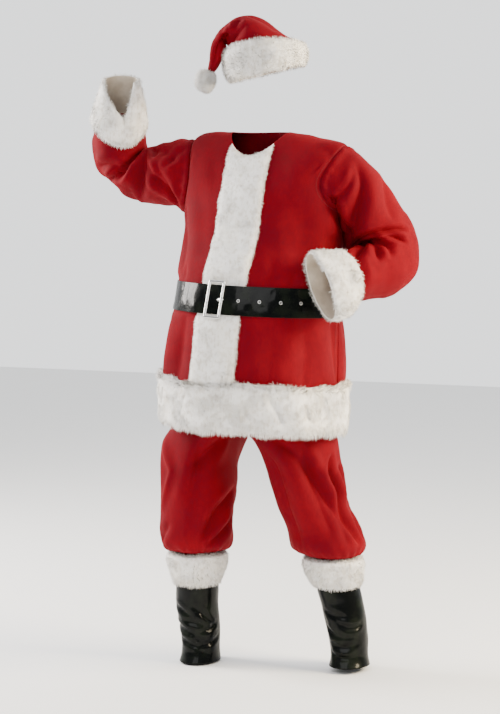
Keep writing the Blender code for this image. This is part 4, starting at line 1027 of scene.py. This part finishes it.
trousers = {
    "cloth": 0.002, "around": 120, "pitch": 0.0065, "crotchRow": 4, "dip": 0.018, "seam": 0.0003,
    "foldScale": (0.8, 1.6, 1.5), "lumps": ((0.0022, 0.5, 0.06, 71), (0.0010, 0.6, 0.026, 73)),
    "gatherRow": 12.4, "gathers": 23, "gatherDeep": 0.0016,
    # z centre outer inner y front back, from waist to hem
    "right": (
        (-0.438, -0.012, -0.205, -0.0122, 0, 0.168, 0.122),
        (-0.55, -0.018, -0.226, -0.0182, 0, 0.188, 0.138),
        (-0.66, -0.022, -0.24, -0.0222, 0, 0.184, 0.15),
        (-0.73, -0.024, -0.25, -0.0242, 0, 0.166, 0.15),
        (-0.765, -0.026, -0.256, -0.0262, -0.002, 0.148, 0.144),
        (-0.797, -0.098, -0.268, -0.056, -0.01, 0.13, 0.13),
        (-0.835, -0.142, -0.282, -0.07, -0.02, 0.119, 0.12),
        (-0.88, -0.165, -0.286, -0.078, -0.026, 0.112, 0.112),
        (-0.925, -0.174, -0.284, -0.074, -0.031, 0.11, 0.11),
        (-0.985, -0.178, -0.28, -0.078, -0.036, 0.106, 0.106),
        (-1.05, -0.18, -0.279, -0.083, -0.04, 0.102, 0.102),
        (-1.09, -0.18, -0.281, -0.081, -0.04, 0.102, 0.102),
        (-1.112, -0.18, -0.275, -0.085, -0.04, 0.096, 0.096),
        (-1.124, -0.18, -0.26, -0.1, -0.04, 0.082, 0.082),
        (-1.128, -0.18, -0.244, -0.116, -0.04, 0.068, 0.068),
        (-1.133, -0.18, -0.2365, -0.1235, -0.04, 0.0585, 0.0585),
        (-1.165, -0.18, -0.234, -0.126, -0.04, 0.056, 0.056),
    ),
    "left": (
        (-0.438, -0.012, 0.181, -0.0118, 0, 0.168, 0.122),
        (-0.55, -0.018, 0.192, -0.0178, 0, 0.188, 0.138),
        (-0.66, -0.022, 0.198, -0.0218, 0, 0.184, 0.15),
        (-0.73, -0.024, 0.204, -0.0238, 0, 0.166, 0.15),
        (-0.765, -0.026, 0.209, -0.0258, 0, 0.148, 0.144),
        (-0.797, 0.044, 0.213, -0.01, 0.006, 0.13, 0.13),
        (-0.835, 0.084, 0.214, 0.002, 0.012, 0.122, 0.12),
        (-0.88, 0.112, 0.215, 0.018, 0.02, 0.113, 0.113),
        (-0.925, 0.128, 0.218, 0.03, 0.027, 0.11, 0.11),
        (-0.985, 0.138, 0.228, 0.043, 0.038, 0.104, 0.104),
        (-1.05, 0.16, 0.253, 0.062, 0.052, 0.1, 0.1),
        (-1.09, 0.172, 0.27, 0.067, 0.057, 0.101, 0.101),
        (-1.112, 0.177, 0.27, 0.075, 0.06, 0.095, 0.095),
        (-1.124, 0.18, 0.26, 0.098, 0.062, 0.082, 0.082),
        (-1.128, 0.182, 0.246, 0.118, 0.063, 0.068, 0.068),
        (-1.133, 0.183, 0.2395, 0.1265, 0.063, 0.0585, 0.0585),
        (-1.165, 0.1865, 0.2405, 0.1325, 0.064, 0.056, 0.056),
    ),
    # row and angle (0 front, 90 outer side, 180 back) of each place, then half width, depth and lip in mm
    "foldsRight": (
        (5.2, 56, 6.4, 40, 7.4, 20, 8.2, 24, 9.4, 40, 18, -6, -1),
        (5.6, 88, 7, 66, 8.6, 62, 10.4, 74, 20, 8, 3),
        (8.6, 262, 9.4, 296, 10.6, 320, 20, 9, 4),
        (9.6, 256, 10.4, 285, 11.2, 310, 14, 7, 3),
        (5.4, 345, 7.2, 335, 9, 345, 26, 5, 2),
        (5.2, 300, 6.2, 320, 7.2, 340, 20, 7, 3),
        (10, 20, 10.8, 40, 11.6, 52, 18, 6, 2),
        (5.6, 150, 7.6, 160, 9.4, 150, 24, 10, 4),
        (8.8, 190, 9.4, 160, 9.8, 120, 16, 9, 4),
        (8.4, 232, 9.2, 205, 9.4, 175, 16, 9, 4),
        (5.2, 210, 6.4, 200, 7.6, 215, 22, 9, 3),
        (10.6, 200, 11.2, 170, 11.6, 140, 16, 7, 3),
    ),
    "foldsLeft": (
        (6.4, 80, 7.4, 72, 8.4, 80, 9.6, 72, 10.8, 84, 15, 12, 5),
        (5.6, 40, 7.2, 40, 9, 58, 10.6, 60, 18, 8, 4),
        (5.2, 18, 6.8, 30, 8.6, 40, 10, 40, 24, 9, 3),
        (6.2, 345, 8.6, 340, 10.8, 338, 26, 5, 2),
        (7, 100, 8, 104, 8.8, 116, 16, 9, 4),
        (9.2, 110, 10, 100, 10.8, 112, 16, 8, 4),
        (5.6, 150, 7.6, 158, 9.4, 146, 24, 10, 4),
        (8.8, 196, 9.3, 166, 9.7, 130, 16, 10, 4),
        (8.2, 240, 9, 212, 9.4, 184, 16, 9, 4),
        (5.2, 215, 6.6, 205, 7.8, 220, 22, 8, 3),
        (10.4, 210, 11, 180, 11.5, 150, 16, 7, 3),
    ),
}


def legRing(row, side, angle):
    # angle runs 0 in front, 90 outer side, 180 back, 270 inner side
    z, centre, outer, inner, y, front, back = np.moveaxis(row, -1, 0)
    a = np.radians(angle) - math.pi / 2
    c, s = np.cos(a), np.sin(a)
    wide = np.where(c >= -1e-9, np.abs(outer - centre), np.abs(centre - inner))
    x = centre + side * trousers["seam"] / 2 + side * wide * c
    return np.stack((x, y + np.where(s > 0, back, front) * s, z + 0 * x), -1)


def legSurface(table, side, row, angle):
    point = legRing(through(table, row), side, angle)
    inner = np.clip(-np.cos(np.radians(angle) - math.pi / 2), 0, 1)
    sag = trousers["dip"] * inner * np.clip(1 - (row - trousers["crotchRow"]), 0, 1)
    return point - sag[..., None] * np.array((0, 0, 1.0))


def makeLeg(name, node, table, folds, side):
    look = trousers
    half = look["around"] // 2
    upper = np.linspace(0, look["crotchRow"], 34)
    lower = []
    for i in range(look["crotchRow"], len(table) - 1):
        run = abs(table[i + 1][0] - table[i][0]) + abs(table[i + 1][5] - table[i][5])
        steps = max(2, int(run / look["pitch"]))
        lower += list(np.linspace(i, i + 1, steps + 1)[1:])
    rows = np.concatenate((upper, lower))
    angle = np.concatenate((np.linspace(0, 180, half + 1), np.linspace(180, 360, half + 1)[1:-1]))
    grid = legSurface(table, side, *crossed(rows, angle))
    normal = facing(grid, True)

    def surface(places):
        return legSurface(table, side, places[:, 0], places[:, 1])
    depth = folded(grid, folds, surface, look["foldScale"]) + uneven(grid, look["lumps"], side)
    gather = np.exp(-((rows - look["gatherRow"]) / 1.1) ** 2)[:, None]
    turn = np.radians(angle)[None, :] * look["gathers"] + 2 * ripple(grid, 0.05, 75)
    depth += gather * look["gatherDeep"] * np.sin(turn)
    depth *= (1 - ease(rows, 13.0, 14.2))[:, None] * ease(rows, 0.0, 1.0)[:, None]
    seamward = np.minimum(np.abs(angle), np.abs(angle - 180)) / 20
    upperDepth, legDepth = depth * np.clip(seamward, 0, 1)[None, :] * 0.4, depth * ease(rows, 4, 5)[:, None]
    depth = np.where((rows <= look["crotchRow"])[:, None], upperDepth, legDepth)
    grid = grid + normal * depth[..., None]
    faces = gridFaces(grid, True)
    row, column = faces[:, 0] // len(angle), faces[:, 0] % len(angle)
    faces = faces[(row >= len(upper) - 1) | (column < half)]  # above the crotch only the outer half is cloth
    used, faces = np.unique(faces, return_inverse=True)
    makeCloth(name, node, grid.reshape(-1, 3)[used], faces.reshape(-1, 4), "flannel", look["cloth"],
              normal.reshape(-1, 3)[used])


makeLeg("trouserLegRight", "trouser_leg_right", trousers["right"], trousers["foldsRight"], -1)
makeLeg("trouserLegLeft", "trouser_leg_left", trousers["left"], trousers["foldsLeft"], 1)

waistband = {"tall": 0.035, "cloth": 0.0018, "around": 288, "down": 9, "gathers": 72, "ruffle": 0.0012,
             "inset": 0.0012}


def makeWaistband():
    right, left = trousers["right"][0], trousers["left"][0]
    angle = np.arange(waistband["around"]) / waistband["around"] * 2 * math.pi
    rise = np.linspace(0.0003, waistband["tall"], waistband["down"])
    swell = np.sin(rise / waistband["tall"] * math.pi * 2)[:, None] ** 2
    ruffle = waistband["ruffle"] * np.sin(angle * waistband["gathers"])[None, :] * swell
    wide = np.where(np.cos(angle) > 0, left[2] - right[1], right[1] - right[2])
    depth = np.where(np.sin(angle) > 0, right[6], right[5])
    x = right[1] + (wide[None, :] - waistband["inset"] + ruffle) * np.cos(angle)
    y = (depth[None, :] - waistband["inset"] + ruffle) * np.sin(angle)
    grid = np.stack((x, y, right[0] + rise[:, None] + 0 * x), -1)
    makeCloth("trouserWaistband", "trouser_waistband", grid, gridFaces(grid, True), "flannel",
              waistband["cloth"], facing(grid, True))


makeWaistband()
print("trousers made")


# boot tops

bootTops = {
    "around": 96, "pitch": 0.005, "vinyl": 0.0015, "furRows": 3, "furDown": 22, "furAround": 130,
    "foldScale": (0.7, 0.75, 0.8), "lumps": ((0.0008, 1, 0.040, 0), (0.0003, 1, 0.016, 1)),
    # z x y wide deep fur, from the top to the lower edge
    "right": (
        (-1.135, -0.18, -0.04, 0.0595, 0.0635, 0.027),
        (-1.152, -0.18, -0.04, 0.0595, 0.064, 0.029),
        (-1.185, -0.18, -0.04, 0.0585, 0.064, 0.02),
        (-1.218, -0.18, -0.04, 0.0575, 0.064, 0.009),
        (-1.28, -0.18, -0.039, 0.056, 0.063, 0),
        (-1.345, -0.172, -0.038, 0.053, 0.06, 0),
        (-1.395, -0.168, -0.04, 0.05, 0.058, 0),
        (-1.432, -0.168, -0.046, 0.054, 0.066, 0),
    ),
    "left": (
        (-1.135, 0.183, 0.063, 0.0595, 0.0635, 0.027),
        (-1.152, 0.185, 0.064, 0.0595, 0.064, 0.029),
        (-1.185, 0.19, 0.065, 0.0585, 0.064, 0.02),
        (-1.21, 0.197, 0.066, 0.0575, 0.064, 0.009),
        (-1.28, 0.216, 0.067, 0.056, 0.063, 0),
        (-1.345, 0.229, 0.067, 0.052, 0.06, 0),
        (-1.395, 0.233, 0.066, 0.049, 0.058, 0),
        (-1.422, 0.236, 0.06, 0.053, 0.066, 0),
    ),
    # row and angle (270 front) of each place, then half width, depth and lip in mm
    "foldsRight": (
        (3.9, 215, 4.1, 250, 4.4, 285, 10, 6, 3),
        (3.9, 290, 4.3, 320, 4.8, 350, 9, 6, 3),
        (4.7, 200, 4.9, 240, 5.1, 285, 10, 7, 4),
        (4.5, 255, 4.6, 290, 4.8, 325, 9, 6, 3),
        (5, 300, 4.9, 330, 4.7, 360, 9, 6, 3),
        (5.4, 225, 5.6, 260, 5.8, 295, 9, 6, 3),
        (5.7, 300, 5.6, 335, 5.3, 370, 9, 5, 3),
        (4.4, 60, 4.7, 100, 4.6, 140, 10, 7, 3),
        (5.2, 50, 5.4, 95, 5.2, 150, 10, 7, 3),
        (5.9, 70, 6, 110, 5.8, 160, 9, 6, 3),
    ),
    "foldsLeft": (
        (4.2, 270, 4.5, 305, 4.4, 345, 10, 7, 3),
        (4.5, 225, 4.8, 250, 4.9, 275, 10, 7, 3),
        (3.9, 235, 4, 265, 4.1, 300, 12, 5, 3),
        (5.2, 240, 5.4, 280, 5.2, 330, 11, 7, 3),
        (5.8, 230, 6, 270, 6, 310, 9, 6, 3),
        (4.4, 50, 4.7, 95, 4.6, 145, 10, 7, 3),
        (5.2, 60, 5.4, 100, 5.2, 150, 10, 7, 3),
        (5.9, 60, 6, 110, 5.8, 150, 9, 6, 3),
    ),
    "hair": dict(pile, seed=81, tuft=0.024, length=0.013, swirl=0.22, stray=0.24, droop=0.35),
}


def bootSurface(table, row, angle):
    z, x, y, wide, deep, _ = np.moveaxis(through(table, row), -1, 0)
    a = np.radians(angle)
    return np.stack((x + wide * np.cos(a), y + deep * np.sin(a), z + 0 * a), -1)


def makeBootTop(name, node, furName, furNode, table, folds, seed):
    look = bootTops
    rows = []
    for i in range(len(table) - 1):
        steps = max(2, int(abs(table[i + 1][0] - table[i][0]) / look["pitch"]))
        rows += list(np.linspace(i, i + 1, steps + 1)[:-1])
    rows = np.array(rows + [len(table) - 1])
    angle = np.arange(look["around"]) / look["around"] * 360
    grid = bootSurface(table, *crossed(rows, angle))
    normal = facing(grid, True)

    def surface(places):
        return bootSurface(table, places[:, 0], places[:, 1])
    depth = folded(grid, folds, surface, look["foldScale"]) + uneven(grid, look["lumps"], seed)
    depth *= ease(rows, 3.0, 3.6)[:, None] * (1 - 0.6 * ease(rows, 6.4, 7.0)[:, None])
    makeCloth(name, node, grid + normal * depth[..., None], gridFaces(grid, True), "boot", look["vinyl"],
              normal)
    rows = np.linspace(0, look["furRows"], look["furDown"])
    under = bootSurface(table, *crossed(rows, np.arange(look["furAround"]) / look["furAround"] * 360))
    normal = unit(facing(under, True) * (1, 1, 0))
    share = np.linspace(0, 1, len(rows))
    fur = through([[row[5]] for row in table], rows)[:, 0] * roundedEnds(share)
    thick = fur[:, None] * (1 + 0.10 * ripple(under, 0.04, seed + 2))
    comb = np.array((0, 0, -0.55)) + 0 * normal
    comb[:3] = np.array((0, 0, 0.4))
    hair = dict(look["hair"], seed=look["hair"]["seed"] + seed)
    furTrim(furName, furNode, under, normal, thick, True, comb, hair)


makeBootTop("bootTopRight", "boot_top_right", "bootTopFurRight", "boot_top_fur_right", bootTops["right"],
            bootTops["foldsRight"], 91)
makeBootTop("bootTopLeft", "boot_top_left", "bootTopFurLeft", "boot_top_fur_left", bootTops["left"],
            bootTops["foldsLeft"], 95)
print("boot tops made")

makeFrontBand()
makeHemFur()
for arm in (raisedSleeve, bentSleeve):
    makeCuff(arm)
print("jacket fur made")


# hat

hat = {
    "place": (0.0097, 0.0052, 0.214), "turn": math.radians(28), "roll": math.radians(6), "tilt": math.radians(-4),
    "around": 120, "cloth": 0.002, "bandRows": 4, "pompom": (-0.168, -0.050), "pompomRadius": 0.032,
    # innerA innerH outerA outerH half fur, from the brim to the tip
    "rings": (
        (-0.096, -0.058, 0.096, -0.034, 0.102, 0.008),
        (-0.097, -0.036, 0.097, -0.02, 0.103, 0.012),
        (-0.098, -0.008, 0.098, -0.004, 0.104, 0.013),
        (-0.098, 0.021, 0.097, 0.012, 0.103, 0.012),
        (-0.0975, 0.041, 0.095, 0.025, 0.101, 0.008),
        (-0.0975, 0.054, 0.072, 0.041, 0.095, 0),
        (-0.0985, 0.06, 0.041, 0.062, 0.087, 0),
        (-0.1, 0.063, 0.007, 0.09, 0.077, 0),
        (-0.102, 0.063, -0.027, 0.107, 0.067, 0),
        (-0.106, 0.061, -0.062, 0.108, 0.056, 0),
        (-0.111, 0.055, -0.094, 0.094, 0.047, 0),
        (-0.1145, 0.043, -0.124, 0.07, 0.04, 0),
        (-0.1165, 0.026, -0.144, 0.04, 0.032, 0),
        (-0.122, 0.008, -0.154, 0.011, 0.024, 0),
        (-0.132, -0.008, -0.16, -0.008, 0.016, 0),
        (-0.144, -0.017, -0.16, -0.018, 0.008, 0),
    ),
    "folds": (
        (7, 268, 6.6, 245, 5.9, 222, 5.3, 205, 12, 12, 4),
        (8.6, 300, 8.4, 270, 8, 240, 12, 9, 5),
        (10.2, 215, 11.2, 240, 12.2, 262, 13.4, 280, 9, 8, 5),
        (8, 215, 9.4, 225, 10.6, 250, 9, 7, 4),
        (5.6, 320, 7.4, 330, 9, 335, 16, 5, 2),
        (5.6, 60, 7, 75, 8.6, 90, 14, 8, 4),
        (5.6, 120, 7.6, 125, 9.6, 130, 14, 8, 4),
        (6.2, 160, 7, 130, 7.4, 100, 10, 7, 3),
        (9.2, 190, 10.8, 185, 13.2, 180, 20, -12, 0),
    ),
    "saddle": (0.006, 0.016, 0.004),  # lift of the crown in front, then drop at its left and right ends
    "tailDrop": 0.013, "lumps": ((0.0014, 1, 0.040, 111), (0.0007, 1, 0.018, 112)), "bandDown": 24,
    "bandAround": 150, "leftFuller": 0.75,
    "hair": dict(pile, seed=101, perArea=230000, tuft=0.024, length=0.012, stand=0.46, swirl=0.24, stray=0.26,
                 droop=0.15),
}


def hatAxes():
    c, s = math.cos(hat["turn"]), math.sin(hat["turn"])
    right, away, up = np.array((c, s, 0)), np.array((-s, c, 0)), np.array((0, 0, 1.0))
    a = right * math.cos(hat["roll"]) + up * math.sin(hat["roll"])
    h = up * math.cos(hat["roll"]) - right * math.sin(hat["roll"])
    back = away * math.cos(hat["tilt"]) - h * math.sin(hat["tilt"])
    return a, h * math.cos(hat["tilt"]) + away * math.sin(hat["tilt"]), back


def hatSurface(row, angle):
    a, h, back = hatAxes()
    table = through(hat["rings"], row)
    inside = table[..., 0:1] * a + table[..., 1:2] * h
    outside = table[..., 2:3] * a + table[..., 3:4] * h
    turn = np.radians(angle)[..., None]
    lift, left, right = hat["saddle"]
    across = np.cos(turn)
    rise = lift * -np.sin(turn) - left * np.clip(-across, 0, 1) ** 2 - right * np.clip(across, 0, 1) ** 2
    top = (ease(row, 0.5, 4.0) * (1 - ease(row, 5.0, 8.0)))[..., None]
    return (np.array(hat["place"]) + h * rise * top + (inside + outside) / 2 + (outside - inside) / 2 * np.cos(turn)
            + back * table[..., 4:5] * np.sin(turn))


def makeHat():
    last = len(hat["rings"]) - 1
    rows = np.concatenate((np.linspace(0.4, 5, 26)[:-1], np.linspace(5, last, 90)))
    angle = np.arange(hat["around"]) / hat["around"] * 360
    grid = hatSurface(*crossed(rows, angle))
    normal = facing(grid, True)

    def surface(places):
        return hatSurface(places[:, 0], places[:, 1])
    depth = folded(grid, hat["folds"], surface) + uneven(grid, hat["lumps"])
    depth *= ease(rows, 4.0, 5.2)[:, None] * (1 - ease(rows, last - 2, last))[:, None]
    grid = grid + normal * depth[..., None] - hatAxes()[1] * hat["tailDrop"] * ease(rows, 11, last)[:, None, None]
    makeCloth("hatCrown", "hat_crown", grid, gridFaces(grid, True), "flannel", hat["cloth"], normal)
    rows = np.linspace(0, hat["bandRows"], hat["bandDown"])
    angle = np.arange(hat["bandAround"]) / hat["bandAround"] * 360
    under = hatSurface(*crossed(rows, angle))
    normal = facing(under, True)
    share = np.linspace(0, 1, len(rows))
    fur = through([[ring[5]] for ring in hat["rings"]], rows)[:, 0] * roundedEnds(share)
    leftEnd = np.clip(-np.cos(np.radians(angle)), 0, 1) ** 3
    thick = fur[:, None] * (1.05 + 0.14 * ripple(under, 0.035, 113) + hat["leftFuller"] * leftEnd[None, :])
    along = unit(np.gradient(under, axis=0))
    comb = along * (np.linspace(-0.6, 0.6, len(rows)))[:, None, None] + 0 * normal
    furTrim("hatFurBand", "hat_fur_band", under, normal, thick, True, comb, hat["hair"])


def makePompom():
    a, h, _ = hatAxes()
    centre = np.array(hat["place"]) + a * hat["pompom"][0] + h * hat["pompom"][1]
    lat = np.linspace(0.06, math.pi - 0.06, 20)[:, None]
    lon = np.arange(40)[None, :] / 40 * 2 * math.pi
    out = np.stack((np.sin(lat) * np.cos(lon), np.sin(lat) * np.sin(lon), np.cos(lat) + 0 * lon), -1)
    radius = (hat["pompomRadius"] - 0.007) * (1 + 0.07 * ripple(out * 0.03, 0.02, 121))
    grid = centre + out * radius[..., None]
    faces = gridFaces(grid, True).tolist() + [list(range(40)), list(range(19 * 40, 20 * 40))[::-1]]
    made = makePiece("hatPompom", grid, faces, "fur")
    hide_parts("hat_pompom")
    look = dict(hat["hair"], seed=131, length=0.0150, stand=0.8, perArea=900000, swirl=0.55, stray=0.40,
                width=0.0011, spikes=True)
    hair = growHair("hatPompomHair", grid, out, out * 0, True, look)
    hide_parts("hat_pompom")


makeHat()
makePompom()
print("hat made")


# seams sewn with thread

stitch = {"long": 0.0030, "gap": 0.0016, "thick": 0.0005, "lift": 0.0001, "pastSeam": 0.024,
          "pastArmhole": (1.12, 1.05), "clearOfBelt": 0.052}


def makeStitches(name, lines, look):
    points, faces = [], []
    thick = stitch["thick"]
    for line, normal in lines:
        lengths = travelled(line)
        step = stitch["long"] + stitch["gap"]
        for way in np.arange(int(lengths[-1] / step)) * step:
            first, last = (placeAt(way + past, lengths, line) for past in (0, stitch["long"]))
            out = unit(placeAt(way, lengths, normal)) * thick
            side = unit(np.cross(out, last - first)) * thick
            base = len(points)
            for share, rise in ((0.0, 0.0), (0.5, 1.0), (1.0, 0.0)):
                middle = first * (1 - share) + last * share + out * (0.2 + 0.7 * rise)
                wide = side * (0.45 + 0.35 * rise)
                points += [middle - wide, middle + out * (0.3 + 0.4 * rise), middle + wide]
            faces += [[base + i + k for k in (0, 3, 4, 1)] for i in (0, 1, 3, 4)]
    makePiece(name, np.array(points), faces, look)


def seamLines():
    lines = []
    for side in (1, -1):
        theta, v = armholeLine(side, 160)
        middle = 0.0 if side > 0 else -math.pi
        wide = middle + (theta - middle) * stitch["pastArmhole"][0]
        tall = jacket["armMiddle"] + (v - jacket["armMiddle"]) * stitch["pastArmhole"][1]
        lines.append((onBody(wide, tall, stitch["lift"]), bodyNormal(wide, tall)))
        v = np.linspace(1.1, 5.9, 260)
        v = v[np.abs(bodyPoint(np.full(v.shape, middle), v)[:, 2] - beltMiddle(0)) > stitch["clearOfBelt"]]
        for part in (v[v < 3], v[v > 3]):
            theta = np.full(part.shape, middle - side * stitch["pastSeam"])
            lines.append((onBody(theta, part, stitch["lift"]), bodyNormal(theta, part)))
    return lines


makeStitches("seamStitches", seamLines(), "thread")


# floor, light and camera

stage = {"floor": -1.437, "half": 9.0, "colour": (0.86, 0.86, 0.86, 1), "shade": (0.8514, 0.8514, 0.8514, 1),
         "aim": (0, 0, -0.55)}


def makeFloor():
    mesh = bpy.data.meshes.new("floor")
    size = stage["half"]
    mesh.from_pydata([(-size, -size, 0), (size, -size, 0), (size, size, 0), (-size, size, 0)], [], [(0, 1, 2, 3)])
    made = bpy.data.objects.new("floor", mesh)
    made.location.z = stage["floor"]
    look, place, feed = newMaterial("floorPaper", {"Roughness": 0.9, "Specular IOR Level": 0.1})
    feed("Base Color", place.noise(2.0).ramp(0.0, 1.0).mix(stage["shade"], stage["colour"]))
    mesh.materials.append(look)
    bpy.context.scene.collection.objects.link(made)


lights = (  # name, place, size, power, colour
    ("keyLeft", (-3.1, -0.4, 0.8), 1.3, 240, (1.0, 0.95, 0.90)),
    ("warmRight", (2.7, 0.6, 0.7), 1.3, 250, (1.0, 0.84, 0.58)),
    ("frontFill", (0.8, -3.7, 1.7), 3.0, 100, (1.0, 0.99, 0.98)),
)
room = {"colour": (0.96, 0.97, 0.98, 1), "front": 0.38, "behind": 1.45, "above": 0.90,
        "away": (-0.469, 0.883, 0.0), "wall": (-0.1, 0.7), "ceiling": (0.2, 0.9)}


def makeLights():
    for name, place, size, power, colour in lights:
        data = bpy.data.lights.new(name, "AREA")
        data.size = size
        data.energy = power
        data.color = colour
        made = bpy.data.objects.new(name, data)
        made.location = place
        made.rotation_euler = (Vector(stage["aim"]) - Vector(place)).to_track_quat("-Z", "Y").to_euler()
        bpy.context.scene.collection.objects.link(made)
    world = bpy.data.worlds.new("paleRoom")
    world.use_nodes = True
    background = world.node_tree.nodes["Background"]
    background.inputs["Color"].default_value = room["colour"]
    away = Shade(world.node_tree, None).node("TexCoord", {}, {}, 0)
    along = away.node("VectorMath", {"operation": "DOT_PRODUCT"}, {0: away, 1: room["away"]}, 1)
    height = away.node("VectorMath", {"operation": "DOT_PRODUCT"}, {0: away, 1: (0.0, 0.0, 1.0)}, 1)
    strength = along.ramp(*room["wall"]) * room["behind"] + height.ramp(*room["ceiling"]) * room["above"]
    strength = strength + room["front"]
    world.node_tree.links.new(strength.socket, background.inputs["Strength"])
    bpy.context.scene.world = world


camera = {"turn": math.radians(28), "aside": -0.0324, "height": -0.594, "distance": 4.5, "rise": 0.294, "lens": 84,
          "sensor": 36, "farthest": 50}


def makeCamera():
    c, s = math.cos(camera["turn"]), math.sin(camera["turn"])
    right, away = Vector((c, s, 0)), Vector((-s, c, 0))
    target = right * camera["aside"] + Vector((0, 0, camera["height"]))
    data = bpy.data.cameras.new("camera")
    data.lens = camera["lens"]
    data.sensor_width = camera["sensor"]
    data.clip_end = camera["farthest"]
    made = bpy.data.objects.new("camera", data)
    made.location = target - away * camera["distance"] + Vector((0, 0, camera["rise"]))
    made.rotation_euler = (target - made.location).to_track_quat("-Z", "Y").to_euler()
    bpy.context.scene.collection.objects.link(made)
    bpy.context.scene.camera = made


makeFloor()
makeLights()
makeCamera()
print("stage made")
